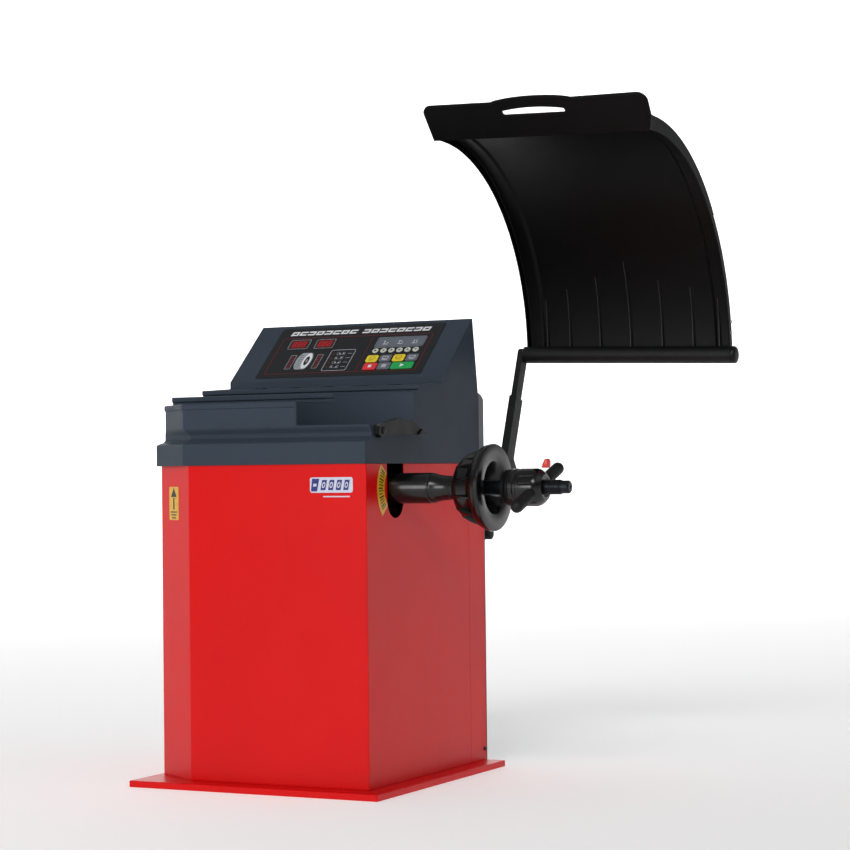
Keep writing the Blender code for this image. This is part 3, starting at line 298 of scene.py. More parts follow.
# ---- shape helpers ----------------------------------------------------------------------------
def place(name, bm, finish, body, sharp=35, stands_for=()):
    """Turn a bmesh into a finished piece that rides on a body."""
    bmesh.ops.recalc_face_normals(bm, faces=bm.faces)
    mesh = bpy.data.meshes.new(name)
    bm.to_mesh(mesh)
    bm.free()
    piece = bpy.data.objects.new(name, mesh)
    bpy.context.scene.collection.objects.link(piece)
    return settle(piece, finish, body, sharp, stands_for)


def settle(piece, finish, body, sharp=35, stands_for=()):
    """Shade a piece, give it its finish and let it ride."""
    piece.data.shade_smooth()
    piece.data.set_sharp_from_angle(angle=math.radians(sharp))
    piece.data.materials.clear()
    piece.data.materials.append(look(finish))
    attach(piece, body)
    if stands_for:
        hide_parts(*stands_for)
    return piece


def rough(name, bm):
    """An unfinished object for cutting and joining."""
    bmesh.ops.recalc_face_normals(bm, faces=bm.faces)
    mesh = bpy.data.meshes.new(name)
    bm.to_mesh(mesh)
    bm.free()
    piece = bpy.data.objects.new(name, mesh)
    bpy.context.scene.collection.objects.link(piece)
    return piece


def combine(target, tool, operation):
    """Cut or join a tool with a target for good, and remove the tool."""
    modifier = target.modifiers.new("combine", "BOOLEAN")
    modifier.operation = operation
    modifier.solver = "EXACT"
    modifier.object = tool
    bake(target)
    bpy.data.objects.remove(tool)
    return target


def bake(target):
    """Apply an object's modifiers to its mesh."""
    bpy.context.view_layer.update()
    graph = bpy.context.evaluated_depsgraph_get()
    result = bpy.data.meshes.new_from_object(target.evaluated_get(graph))
    target.modifiers.clear()
    target.data = result


def soften(piece, width, segments=3, angle=32):
    """Round the sharp edges of a piece, after merging its flat facets."""
    merge = piece.modifiers.new("merge", "WELD")
    merge.merge_threshold = 0.00001
    flat = piece.modifiers.new("flat", "DECIMATE")
    flat.decimate_type = "DISSOLVE"
    flat.angle_limit = math.radians(0.4)
    bevel = piece.modifiers.new("edge", "BEVEL")
    bevel.width = width
    bevel.segments = segments
    bevel.limit_method = "ANGLE"
    bevel.angle_limit = math.radians(angle)
    bevel.use_clamp_overlap = True
    return flatten_shading(piece)


def flatten_shading(piece):
    """Let large faces keep their own shading beside rounded edges."""
    weighted = piece.modifiers.new("shading", "WEIGHTED_NORMAL")
    weighted.mode = "FACE_AREA"
    weighted.weight = 50
    weighted.keep_sharp = True
    return piece


def skin(bm, rings, closed=False, capped=True):
    """Add a skin over rings with the same number of points to a bmesh."""
    loops = [[bm.verts.new(point) for point in ring] for ring in rings]
    pairs = list(zip(loops, loops[1:]))
    if closed:
        pairs.append((loops[-1], loops[0]))
    count = len(loops[0])
    for low, high in pairs:
        for i in range(count):
            j = (i + 1) % count
            bm.faces.new((low[i], low[j], high[j], high[i]))
    if capped and not closed:
        bm.faces.new(loops[0])
        bm.faces.new(loops[-1])
    return bm


def loft(rings, closed=False):
    return skin(bmesh.new(), rings, closed)


def add_block(bm, low, high):
    """Add a plain block between two corners to a bmesh."""
    (x0, y0, z0), (x1, y1, z1) = low, high
    plan = ((x0, y0), (x1, y0), (x1, y1), (x0, y1))
    return skin(bm, [[(x, y, z) for x, y in plan] for z in (z0, z1)])


def along_axis(axis, a, b, c):
    return {"X": (c, a, b), "Y": (a, c, b), "Z": (a, b, c)}[axis]


def prism(outline, axis, low, high, bm=None):
    """An outline in the two other axes extruded along an axis."""
    rings = [[along_axis(axis, a, b, c) for a, b in outline] for c in (low, high)]
    return skin(bm or bmesh.new(), rings)


def turned(profile, segments=96, centre=(SPINDLE_Y, SPINDLE_Z), bm=None):
    """Turn a profile of (x, radius) about a line along X; one that starts on the axis is solid."""
    solid = profile[0][1] == 0.0
    inner = profile[1:-1] if solid else profile
    turns = [2 * math.pi * k / segments for k in range(segments)]
    rings = [[(x, centre[0] + r * math.cos(t), centre[1] + r * math.sin(t)) for t in turns] for x, r in inner]
    return skin(bm or bmesh.new(), rings, closed=not solid)


def fillet(points, radius, steps=5, closed=True):
    """Round the corners of a 2-D outline with arcs; radius may be a list, one for each corner."""
    radii = radius if isinstance(radius, (list, tuple)) else [radius] * len(points)
    path = [Vector(p) for p in points]
    made = []
    for i, corner in enumerate(path):
        if radii[i] <= 0 or (not closed and i in (0, len(path) - 1)):
            made.append(tuple(corner))
            continue
        back = (path[i - 1] - corner).normalized()
        ahead = (path[(i + 1) % len(path)] - corner).normalized()
        half = back.angle(ahead) / 2
        if half > math.radians(89):
            made.append(tuple(corner))
            continue
        reach = radii[i] / math.tan(half)
        start, stop = corner + back * reach, corner + ahead * reach
        centre = corner + (back + ahead).normalized() * (radii[i] / math.sin(half))
        first, last = start - centre, stop - centre
        sweep = first.angle_signed(last)
        for k in range(steps + 1):
            turn = -sweep * k / steps
            spun = Vector((first.x * math.cos(turn) - first.y * math.sin(turn),
                           first.x * math.sin(turn) + first.y * math.cos(turn)))
            made.append(tuple(centre + spun))
    return made


def rounded(width, height, radius, steps=6, centre=(0.0, 0.0)):
    """Outline of a rectangle with round corners."""
    points = []
    for sx, sy, start in ((1, 1, 0), (-1, 1, 90), (-1, -1, 180), (1, -1, 270)):
        for k in range(steps + 1):
            turn = math.radians(start + 90 * k / steps)
            points.append((centre[0] + sx * (width / 2 - radius) + radius * math.cos(turn),
                           centre[1] + sy * (height / 2 - radius) + radius * math.sin(turn)))
    return points


def circle(radius, segments=32, centre=(0.0, 0.0)):
    turns = [2 * math.pi * k / segments for k in range(segments)]
    return [(centre[0] + radius * math.cos(t), centre[1] + radius * math.sin(t)) for t in turns]


def sweep(path, section, bm=None, closed=False, up=Vector((0, 0, 1))):
    """Carry a section of (outward, up) points along a path, with mitred corners."""
    points = [Vector(p) for p in path]
    rings = []
    count = len(points)
    for i, point in enumerate(points):
        before = points[i - 1] if (closed or i > 0) else None
        after = points[(i + 1) % count] if (closed or i < count - 1) else None
        steps = [(b - a).normalized() for a, b in ((before, point),
                                                   (point, after)) if a is not None and b is not None]
        tangent = sum(steps, Vector()).normalized()
        side = tangent.cross(up).normalized()
        stretch = 1.0 / max(0.3, tangent.dot(steps[0]))
        rings.append([point + side * (a * stretch) + up * b for a, b in section])
    return skin(bm or bmesh.new(), rings, closed=closed)


def bead(radius, segments=10):
    return circle(radius, segments)


def smooth_step(low, high, value):
    share = max(0.0, min(1.0, (value - low) / (high - low)))
    return share * share * (3 - 2 * share)


def between(table, value):
    """Smooth value of a table of (place, value) rows at a place."""
    for (a, low), (b, high) in zip(table, table[1:]):
        if value <= b:
            return low + (high - low) * smooth_step(a, b, value)
    return table[-1][1]


# ---- fasteners --------------------------------------------------------------------------------
def facing(direction):
    """Turn that takes +Z to a direction."""
    return Vector(direction).to_track_quat("Z", "Y").to_matrix().to_4x4()


def add_turned(bm, at, direction, profile, segments=20, spin=0.0):
    """Add a shape turned about its own axis; the profile is (radius, height) from the bottom up."""
    turn = Matrix.Translation(at) @ facing(direction)
    rings = []
    for radius, height in profile:
        rings.append([turn @ Vector((radius * math.cos(a), radius * math.sin(a), height))
                      for a in (spin + 2 * math.pi * k / segments for k in range(segments))])
    return skin(bm, rings)


def add_pan_screw(bm, at, direction, radius):
    """A domed head with a cross recess, in one closed skin."""
    turn = Matrix.Translation(at) @ facing(direction)
    segments = 24
    cross = []
    for k in range(segments):
        around = 2 * math.pi * k / segments
        near = min(abs((around - a + math.pi) % (2 * math.pi) - math.pi) for a in
                   (0.0, math.pi / 2, math.pi, 3 * math.pi / 2))
        cross.append(0.62 if near < 0.22 else 0.16 / max(0.26, math.sin(near + 0.02)))
    rings = []
    for share, height in ((1.0, 0.0), (1.0, 0.18), (0.93, 0.40), (0.78, 0.52)):
        rings.append([(radius * share, height * radius)] * segments)
    rings.append([(radius * min(0.72, c * 1.04), 0.56 * radius) for c in cross])
    rings.append([(radius * min(0.70, c), 0.54 * radius) for c in cross])
    rings.append([(radius * min(0.50, c * 0.8), 0.18 * radius) for c in cross])
    points = [[turn @ Vector((r * math.cos(2 * math.pi * k / segments),
                              r * math.sin(2 * math.pi * k / segments), h))
               for k, (r, h) in enumerate(ring)] for ring in rings]
    return skin(bm, points)


def add_hex_bolt(bm, at, direction, radius):
    """A washer with a chamfered hexagon head on it."""
    add_turned(bm, at, direction, [(radius * 1.45, 0.0), (radius * 1.45, radius * 0.14),
                                   (radius * 1.38, radius * 0.20),
                                   (radius * 0.5, radius * 0.20)], 28)
    head = [(radius * 1.12, radius * 0.22), (radius * 1.12, radius * 0.80), (radius * 1.0, radius * 0.90),
            (radius * 0.55, radius * 0.92)]
    return add_turned(bm, at, direction, head, 6, 0.3)


# ---- cabinet ----------------------------------------------------------------------------------
def offset_path(points, thickness):
    """Both sides of a folded sheet that lies to the left of a path."""
    path = [Vector(p) for p in points]
    inner = []
    for i, corner in enumerate(path):
        sides = []
        if i > 0:
            sides.append((corner - path[i - 1]).normalized())
        if i < len(path) - 1:
            sides.append((path[i + 1] - corner).normalized())
        normals = [Vector((-d.y, d.x)) for d in sides]
        mitre = sum(normals, Vector((0.0, 0.0))).normalized()
        inner.append(corner + mitre * thickness / mitre.dot(normals[0]))
    return [tuple(p) for p in path] + [tuple(p) for p in reversed(inner)]


def make_front_panel():
    """Front sheet with soft folds at both sides of its chamfer."""
    sheet, fold = 0.002, 0.006
    corner_x, corner_y = LEFT + CHAMFER[0], FRONT + CHAMFER[1]
    path = [(LEFT, SEAM_Y - GAP), (LEFT, corner_y), (corner_x, FRONT), (RIGHT - GAP, FRONT)]
    outline = offset_path(fillet(path, fold, 6, closed=False), sheet)
    panel = rough("front_sheet", prism(outline, "Z", FRONT_LOW.z, FRONT_HIGH.z))
    notch = bmesh.new()
    add_block(notch, (COVER_RIGHT - COVER_WALL - 0.001, FRONT - 0.01, CABINET_TOP - GAP),
              (RIGHT + 0.01, FRONT + 0.01, FRONT_HIGH.z + 0.01))
    combine(panel, rough("notch", notch), "DIFFERENCE")
    soften(panel, 0.0007, 2, 50)
    settle(panel, "red_paint", "cabinet", 30, ["cabinet_front_panel"])


def dress_cabinet():
    for name, width in (("base_plate", 0.0022), ("cabinet_right_panel", 0.0007), ("rear_post_right", 0.0007),
                        ("rear_post_left", 0.0007)):
        dress(name, "red_paint", width)
    dress("rear_cover", "grey_sheet", 0.0004)
    dress("power_inlet", "black_plastic", 0.0005)
    dress("switch_frame", "black_plastic", 0.0005)
    dress("power_rocker", "black_plastic", 0.0006)


def dress(name, finish, width=0.0, sharp=35):
    """Give a carried-over node its finish, and round its edges."""
    node = NODES[name]
    if width:
        soften(node, width)
        node.data.shade_smooth()
        node.data.set_sharp_from_angle(angle=math.radians(sharp))
    node.data.materials.clear()
    node.data.materials.append(look(finish))


def make_screws():
    """Fixing screws of the side panels, the rear cover and the guard's bracket."""
    bm = bmesh.new()
    add_pan_screw(bm, (RIGHT + 0.0001, 0.352, 0.047), (1, 0, 0), 0.0058)
    place("side_screw_head", bm, "blued_steel", "cabinet", 30, ["side_screw"])
    rows = bmesh.new()
    back = REAR_HIGH.y + 0.0001
    for x in (REAR_LOW.x + 0.014, REAR_HIGH.x - 0.016):
        for z in (0.045, 0.330, 0.560, 0.790):
            if x > 0 and 0.55 < z < 0.80:
                continue
            add_pan_screw(rows, (x, back, z), (0, 1, 0), 0.0050)
    place("rear_cover_screws", rows, "zinc", "cabinet", 30)
    bolts = bmesh.new()
    plate = BRACKET_LOW.y + 0.0061
    for x in (BRACKET_LOW.x + 0.010, 0.214):
        for z in (BRACKET_LOW.z + 0.018, BRACKET_HIGH.z - 0.018):
            add_hex_bolt(bolts, (x, plate, z), (0, 1, 0), 0.0055)
    place("bracket_bolts", bolts, "zinc", "cabinet", 30)


# ---- top cover --------------------------------------------------------------------------------
FACE_INSET = 0.0030             # the nose's face, behind its rolled rim
RISER_INSET = 0.0042            # each step's riser, behind its rolled rim
# height, then front edge, left edge, chamfer along X and the chamfer's datum in Y
SKIRT_LEVELS = ((SKIRT_TOP, (SKIRT_FRONT + 0.0040, SKIRT_LEFT + 0.0040, 0.136, SKIRT_FRONT + 0.0040)),
                (SKIRT_TOP + 0.006, (NOSE_FRONT + 0.0005, LEFT - 0.0025, 0.128, NOSE_FRONT)),
                (SKIRT_TOP + 0.012, (NOSE_NECK, LEFT + 0.001, 0.126, NOSE_FRONT + 0.001)),
                (SKIRT_TOP + 0.019, (NOSE_NECK, LEFT + 0.001, 0.124, NOSE_FRONT + 0.001)),
                (SKIRT_TOP + 0.040, (NOSE_FRONT + FACE_INSET, LEFT + 0.002, NOSE_CHAMFER,
                                     NOSE_FRONT + 0.002)))


def cover_ring(z, front, left, chamfer, datum, inset):
    """Plan outline at one height, with its chamfered front left corner and soft edges."""
    right, back, shift = COVER_RIGHT - inset, COVER_BACK - inset, inset * 0.35
    corners = [(right, front + inset), (left + inset + chamfer - shift, front + inset),
               (left + inset, datum + inset + CHAMFER[1] - shift), (left + inset, back), (right, back)]
    soft = [max(0.0006, r - inset) for r in (0.0045, 0.013, 0.013, 0.007, 0.005)]
    return [(x, y, z) for x, y in fillet(corners, soft, 5)]


def lower_levels():
    """Height, front, left, chamfer and datum of every ring of the lower cover."""
    bottom = CABINET_TOP + GAP
    rows = [(bottom, SKIRT_FRONT + 0.001, SKIRT_LEFT + 0.001, 0.136, SKIRT_FRONT + 0.001)]
    for z, back in ((bottom + 0.001, 0.0), (SKIRT_TOP - 0.0045, 0.0), (SKIRT_TOP - 0.0028, 0.0003),
                    (SKIRT_TOP - 0.0012, 0.0012), (SKIRT_TOP - 0.0003, 0.0026)):
        rows.append((z, SKIRT_FRONT + back, SKIRT_LEFT + back, 0.136, SKIRT_FRONT + back))
    steps = 24
    for k in range(steps + 1):
        z = SKIRT_TOP + 0.040 * k / steps
        rows.append((z, *[between([(level, values[i]) for level, values in SKIRT_LEVELS],
                                  z) for i in range(4)]))
    face = SKIRT_LEVELS[-1][1]
    rim = [(-0.0150, 1.0), (-0.0140, 0.45), (-0.0125, 0.08), (-0.0110, 0.0), (-0.0036, 0.0), (-0.0022, 0.10),
           (-0.0009, 0.42), (0.0, 1.0)]
    for height, share in rim:
        rows.append((NOSE_TOP + height, NOSE_FRONT + FACE_INSET * share, LEFT + 0.002 * share, face[2],
                     NOSE_FRONT + 0.002 * share))
    return rows


def upper_outline(inset):
    """Side view of the decks and the control head, with a rolled rim on every step."""
    t, back = inset, RISER_INSET
    slope = Vector((PANEL_HIGH[0] - PANEL_LOW[0], PANEL_HIGH[1] - PANEL_LOW[1])).normalized()
    bottom = NOSE_TOP - 0.011
    if t:
        corners = [(DECK_ONE[0] + t, bottom), (DECK_ONE[0] + t, DECK_ONE[1] - t),
                   (DECK_TWO[0] + t, DECK_ONE[1] - t), (DECK_TWO[0] + t, DECK_TWO[1] - t),
                   (DECK_THREE[0] + t, DECK_THREE[1] - t), (PANEL_LOW[0] + t, PANEL_LOW[1] - 0.4 * t),
                   (PANEL_HIGH[0] + 0.2 * t, PANEL_HIGH[1] - 1.5 * t), (COVER_BACK - 0.002 - t, 0.99),
                   (COVER_BACK - t, bottom)]
        return fillet(corners, 0.001, 2)
    rows = [((DECK_ONE[0] + back, bottom), 0), ((DECK_ONE[0] + back, DECK_ONE[1] - 0.0140), 0.0015),
            ((DECK_ONE[0], DECK_ONE[1] - 0.0118), 0.0020), (DECK_ONE, 0.0032),
            ((DECK_TWO[0] + back, DECK_ONE[1] + 0.0010), 0.0020),
            ((DECK_TWO[0] + back, DECK_TWO[1] - 0.0130), 0.0015),
            ((DECK_TWO[0], DECK_TWO[1] - 0.0108), 0.0020),
            (DECK_TWO, 0.0032), (DECK_THREE, 0.0016), ((PANEL_LOW[0], PANEL_LOW[1]), 0.0050),
            ((PANEL_HIGH[0], PANEL_HIGH[1]), 0.0014), ((COVER_BACK - 0.002, 0.99), 0.02),
            ((COVER_BACK, 0.97), 0.02),
            ((COVER_BACK, bottom), 0)]
    return fillet([point for point, _ in rows], [soft for _, soft in rows], 6)


def add_bins(bm):
    """Cutters of every bin: round corners, a little draft and a soft floor."""
    for count, (x0, x1), (y0, y1), floor, top in BIN_ROWS:
        pitch = (x1 - x0 + BIN_DIVIDER) / count
        for k in range(count):
            width = pitch - BIN_DIVIDER
            middle = (x0 + k * pitch + width / 2, (y0 + y1) / 2)
            depth = top - floor
            rings = []
            for height, pinch in ((0.0, 0.0065), (0.0012, 0.0044), (0.0034, 0.0030), (0.0070, 0.0024),
                                  (depth - 0.0030, 0.0012), (depth - 0.0012, 0.0008), (depth, 0.0),
                                  (depth + 0.03, 0.0)):
                shape = rounded(width - 2 * pinch, y1 - y0 - 2 * pinch, 0.006 - pinch * 0.5, 6, middle)
                rings.append([(x, y, floor + height) for x, y in shape])
            skin(bm, rings)
    return bm


def make_top_cover():
    """The moulding: skirt, neck, nose with bins, recess, stepped decks and the control head."""
    thick = COVER_WALL + RISER_INSET
    cover = rough("cover", loft([cover_ring(*level, 0.0) for level in lower_levels()]))
    combine(cover, rough("upper", prism(upper_outline(0.0), "X", LEFT, COVER_RIGHT)), "UNION")
    bottom, top = CABINET_TOP - 0.01, NOSE_TOP - COVER_WALL
    neck, shift = SKIRT_TOP + 0.0155, 0.004
    inner = [(z - shift if z < neck else z + shift, *rest) for z, *rest in lower_levels()
             if CABINET_TOP + 0.010 < z < NOSE_TOP - 0.016]
    rings = [cover_ring(bottom, *inner[0][1:], COVER_WALL)]
    rings += [cover_ring(z, *rest, COVER_WALL) for z, *rest in inner]
    rings.append(cover_ring(top, *inner[-1][1:], COVER_WALL))
    hollow = rough("hollow", loft(rings))
    combine(hollow, rough("upper_hollow", prism(upper_outline(thick), "X", LEFT + thick,
                                                COVER_RIGHT - COVER_WALL)),
            "UNION")
    wall = rough("recess_wall", prism(circle(RECESS_RADIUS + COVER_WALL, 96, RECESS_CENTRE), "Z",
                                      RECESS_FLOOR - COVER_WALL, 1.2))
    combine(hollow, wall, "DIFFERENCE")
    for _, (x0, x1), (y0, y1), floor, top in BIN_ROWS:
        t = COVER_WALL - 0.0002
        combine(hollow, rough("bin_walls", add_block(bmesh.new(), (x0 - t, y0 - t, floor - t),
                                                     (x1 + t, y1 + t, top + 0.04))),
                "DIFFERENCE")
    cutters = bmesh.new()
    recess = [(RECESS_RADIUS - 0.0050, RECESS_FLOOR), (RECESS_RADIUS - 0.0022, RECESS_FLOOR + 0.0008),
              (RECESS_RADIUS - 0.0006, RECESS_FLOOR + 0.0026), (RECESS_RADIUS, RECESS_FLOOR + 0.0055),
              (RECESS_RADIUS, 1.15)]
    skin(cutters, [[(x, y, z) for x, y in circle(radius, 160, RECESS_CENTRE)] for radius, z in recess])
    add_bins(cutters)
    prism(circle(0.0085, 24, GAUGE_CENTRE), "X", COVER_RIGHT - 0.02, COVER_RIGHT + 0.02, cutters)
    combine(cover, rough("cutters", cutters), "DIFFERENCE")
    combine(cover, hollow, "DIFFERENCE")
    cover.name = "cover_moulding"
    merge = cover.modifiers.new("merge", "WELD")
    merge.merge_threshold = 0.00001
    bevel = cover.modifiers.new("edge", "BEVEL")
    bevel.width = 0.0010
    bevel.segments = 2
    bevel.limit_method = "ANGLE"
    bevel.angle_limit = math.radians(48)
    flatten_shading(cover)
    settle(cover, "cover", "cabinet", 30, ["top_cover"])


def make_recess_rim():
    """Rolled rim round the recess on the nose and on both lower decks."""
    bm = bmesh.new()
    cx, cy = RECESS_CENTRE
    for z, y_from, y_to in ((NOSE_TOP, NOSE_FRONT + 0.004, DECK_ONE[0] + 0.004),
                            (DECK_ONE[1], DECK_ONE[0] + 0.002, DECK_TWO[0] - 0.034)):
        start = math.pi - math.asin((y_from - cy) / RECESS_RADIUS)
        stop = math.pi - math.asin(min(1.0, (y_to - cy) / RECESS_RADIUS))
        count = 28
        path = []
        for k in range(count + 1):
            turn = start + (stop - start) * k / count
            reach = RECESS_RADIUS + 0.0018
            path.append((cx + reach * math.cos(turn), cy + reach * math.sin(turn), z - 0.0016))
        sweep(path, bead(0.0026, 12), bm)
    edge = (cx - math.sqrt(RECESS_RADIUS ** 2 - (NOSE_FRONT + FACE_INSET - cy) ** 2) - 0.0028,
            NOSE_FRONT + 0.0040)
    post_levels = [(0.0020, RECESS_FLOOR - 0.0010), (0.0040, RECESS_FLOOR + 0.0040),
                   (0.0040, NOSE_TOP - 0.0035),
                (0.0030, NOSE_TOP - 0.0012), (0.0015, NOSE_TOP - 0.0004)]
    skin(bm, [[(x, y, z) for x, y in circle(radius, 20, edge)] for radius, z in post_levels])
    return place("recess_rim", bm, "cover", "cabinet", 60)


# ---- control panel ----------------------------------------------------------------------------
def panel_matrix():
    """From panel coordinates (u along X, v up the slope, n out of the face) to the world."""
    slope = Vector((0.0, PANEL_HIGH[0] - PANEL_LOW[0], PANEL_HIGH[1] - PANEL_LOW[1])).normalized()
    across = Vector((1.0, 0.0, 0.0))
    turn = Matrix((across, slope, across.cross(slope))).transposed().to_4x4()
    return Matrix.Translation((0.0, PANEL_LOW[0], PANEL_LOW[1])) @ turn


PANEL = panel_matrix()
PRINT_LOW, PRINT_HIGH = 0.00112, 0.00134    # printed marks, just proud of the membrane
KEY_TOP = 0.0040
WINDOW_TOP = 0.0014


def raised(bm, outline, low=PRINT_LOW, high=PRINT_HIGH):
    """Add a flat mark with this outline in panel coordinates."""
    return skin(bm, [[PANEL @ Vector((u, v, n)) for u, v in outline] for n in (low, high)])


def frame_line(bm, width, height, radius, line, centre, low=PRINT_LOW, high=PRINT_HIGH):
    """Add a thin outline of a round-cornered rectangle."""
    outer = rounded(width, height, radius, 6, centre)
    inner = rounded(width - 2 * line, height - 2 * line, max(0.0003, radius - line), 6, centre)
    rings = [[PANEL @ Vector((u, v, n)) for u, v in shape]
             for shape, n in ((outer, low), (outer, high), (inner, high), (inner, low))]
    return skin(bm, rings, closed=True)


def bar(centre, width, height, slant=0.0, turn=0.0):
    """Outline of a bar, slanted like an italic stroke or turned."""
    u, v = centre
    half_w, half_h = width / 2, height / 2
    corners = [(-half_w - slant, -half_h), (half_w - slant, -half_h), (half_w + slant, half_h),
               (-half_w + slant, half_h)]
    cos, sin = math.cos(turn), math.sin(turn)
    return [(u + a * cos - b * sin, v + a * sin + b * cos) for a, b in corners]


def make_title():
    """A row of slanted blocks that stands in for the panel's heading."""
    bm = bmesh.new()
    height, slant, v = 0.0165, 0.0018, 0.2025
    left, right, groups, gap = -0.236, 0.196, (8, 8), 0.015
    pitch = (right - left - gap) / sum(groups)
    cell = 0
    for group, count in enumerate(groups):
        for _ in range(count):
            u = left + (cell + 0.5) * pitch + group * gap
            width = pitch * 0.84
            thick = 0.0052
            raised(bm, bar((u + slant * 0.75, v + height / 2 - thick / 2), width, thick,
                           slant * thick / height))
            raised(bm, bar((u - slant * 0.75, v - height / 2 + thick / 2), width, thick,
                           slant * thick / height))
            side = -1 if cell % 2 else 1
            raised(bm, bar((u + side * (width / 2 - thick / 2), v), thick, height - 2 * thick - 0.0002,
                           slant * (height - 2 * thick) / height))
            if cell % 3 == 0:
                raised(bm, bar((u - side * (width / 2 - thick / 2), v), thick, height - 2 * thick - 0.0002,
                               slant * (height - 2 * thick) / height))
            cell += 1
    place("panel_heading", bm, "print_white", "cabinet", 20)


def make_panel_lines():
    """Dark red border with its divider, and the pale frames of displays, lamps and modes."""
    red = bmesh.new()
    frame_line(red, 0.462, 0.155, 0.007, 0.0016, (-0.020, 0.1055))
    raised(red, bar((0.0305, 0.1055), 0.0014, 0.1500, 0.0))
    place("panel_border", red, "print_red", "cabinet", 20)
    pale = bmesh.new()
    for centre, width, height in DISPLAYS:
        frame_line(pale, width - 0.003, height - 0.003, 0.0040, 0.0014, centre, WINDOW_TOP + 0.00002,
                   WINDOW_TOP + 0.0002)
    for u in (-0.187, -0.104):
        frame_line(pale, 0.0175, 0.0600, 0.0025, 0.0013, (u, 0.0780))
    frame_line(pale, 0.0760, 0.0900, 0.0070, 0.0021, (-0.0390, 0.0800))
    frame_line(pale, 0.1460, 0.0440, 0.0050, 0.0012, (0.1230, 0.1495))
    place("panel_frames", pale, "print_grey", "cabinet", 20)


def make_lamps():
    """Two columns of position lamps and the column of mode lamps."""
    bm = bmesh.new()
    for u in (-0.187, -0.104):
        for k in range(7):
            raised(bm, rounded(0.0095, 0.0048, 0.0010, 3, (u, 0.0540 + 0.0080 * k)))
    for k in range(4):
        raised(bm, circle(0.0028, 14, (-0.0650, 0.0520 + 0.0185 * k)))
    place("panel_lamps", bm, "print_red", "cabinet", 20)


def make_mode_marks():
    """A plain wheel section beside each mode lamp, with its weight places shown as small blocks."""
    bm = bmesh.new()
    blocks = bmesh.new()
    for k in range(4):
        v = 0.0520 + 0.0185 * k
        raised(bm, bar((-0.0420, v - 0.0040), 0.0250, 0.0011))
        raised(bm, bar((-0.0540, v), 0.0011, 0.0090, 0.0))
        raised(bm, bar((-0.0300, v), 0.0011, 0.0090, 0.0))
        raised(bm, bar((-0.0500, v + 0.0051), 0.0075, 0.0011))
        raised(bm, bar((-0.0340, v + 0.0051), 0.0075, 0.0011))
        raised(bm, bar((-0.0150, v), 0.0140, 0.0016))
        first = -0.0500 + 0.0045 * (k % 2)
        raised(blocks, rounded(0.0040, 0.0030, 0.0006, 2, (first, v)))
        raised(blocks, rounded(0.0040, 0.0030, 0.0006, 2, (-0.0350, v - 0.0012 + 0.0024 * (k > 1))))
    place("mode_marks", bm, "print_grey", "cabinet", 20)
    place("mode_blocks", blocks, "print_white", "cabinet", 20)


def ellipse(centre, half_u, half_v, lean=0.0, segments=36):
    points = []
    for k in range(segments):
        turn = 2 * math.pi * k / segments
        a, b = half_u * math.cos(turn), half_v * math.sin(turn)
        points.append((centre[0] + a + b * lean, centre[1] + b))
    return points


def make_wheel_picture():
    """Generic tyre seen from the side, in three flat layers with tread bars."""
    middle = (-0.1490, 0.0810)
    layer = PRINT_HIGH - PRINT_LOW
    body = bmesh.new()
    outline = []
    for k in range(19):
        turn = math.radians(90 + 180 * k / 18)
        outline.append((middle[0] - 0.010 + 0.0135 * math.cos(turn), middle[1] + 0.0350 * math.sin(turn)))
    for k in range(19):
        turn = math.radians(-90 + 180 * k / 18)
        outline.append((middle[0] + 0.012 + 0.0135 * math.cos(turn), middle[1] + 0.0350 * math.sin(turn)))
    raised(body, outline)
    place("tyre_body", body, "print_grey", "cabinet", 20)
    wall = bmesh.new()
    raised(wall, ellipse((middle[0] + 0.011, middle[1]), 0.0125, 0.0325), PRINT_HIGH + 0.00002,
           PRINT_HIGH + layer)
    place("tyre_wall", wall, "print_white", "cabinet", 20)
    dark = bmesh.new()
    level = PRINT_HIGH + layer
    raised(dark, ellipse((middle[0] + 0.011, middle[1]), 0.0068, 0.0190), level + 0.00002, level + layer)
    for k in range(7):
        v = middle[1] + 0.0080 * (k - 3)
        raised(dark, bar((middle[0] - 0.0105, v), 0.0130, 0.0013, 0.0, -0.30), PRINT_HIGH + 0.00002,
               PRINT_HIGH + layer)
    place("tyre_hollows", dark, "print_dark", "cabinet", 20)
    hub = bmesh.new()
    level += layer
    raised(hub, ellipse((middle[0] + 0.011, middle[1]), 0.0026, 0.0070), level + 0.00002, level + layer)
    place("tyre_hub", hub, "print_grey", "cabinet", 20)


def make_grey_plate():
    """Pale grey field with three plain symbols above the round keys."""
    plate = bmesh.new()
    raised(plate, rounded(0.1400, 0.0385, 0.0040, 6, (0.1230, 0.1495)))
    place("symbol_field", plate, "key_grey", "cabinet", 20)
    marks = bmesh.new()
    low, high = PRINT_HIGH + 0.00002, 2 * PRINT_HIGH - PRINT_LOW
    for k in range(3):
        u, v = 0.0790 + 0.0440 * k, 0.1495
        raised(marks, bar((u, v - 0.0075), 0.0150, 0.0016), low, high)
        raised(marks, bar((u - 0.0040, v), 0.0015, 0.0130, 0.0), low, high)
        raised(marks, bar((u + 0.0040 * (k - 1), v + 0.0040), 0.0060, 0.0015, 0.0, 0.5 * (k - 1)), low, high)
        raised(marks, circle(0.0016, 14, (u + 0.0060, v - 0.0020)), low, high)
    place("symbol_marks", marks, "print_white", "cabinet", 20)


SEGMENTS = ((0.0, 1.0, True), (0.5, 0.5, False), (0.5, -0.5, False), (0.0, -1.0, True), (-0.5, -0.5, False),
            (-0.5, 0.5, False), (0.0, 0.0, True))


DISPLAYS = (((-0.1910, 0.1545), 0.066, 0.043), ((-0.1105, 0.1535), 0.062, 0.042))   # centre, width, height
PANE_TOP = WINDOW_TOP + 0.0003


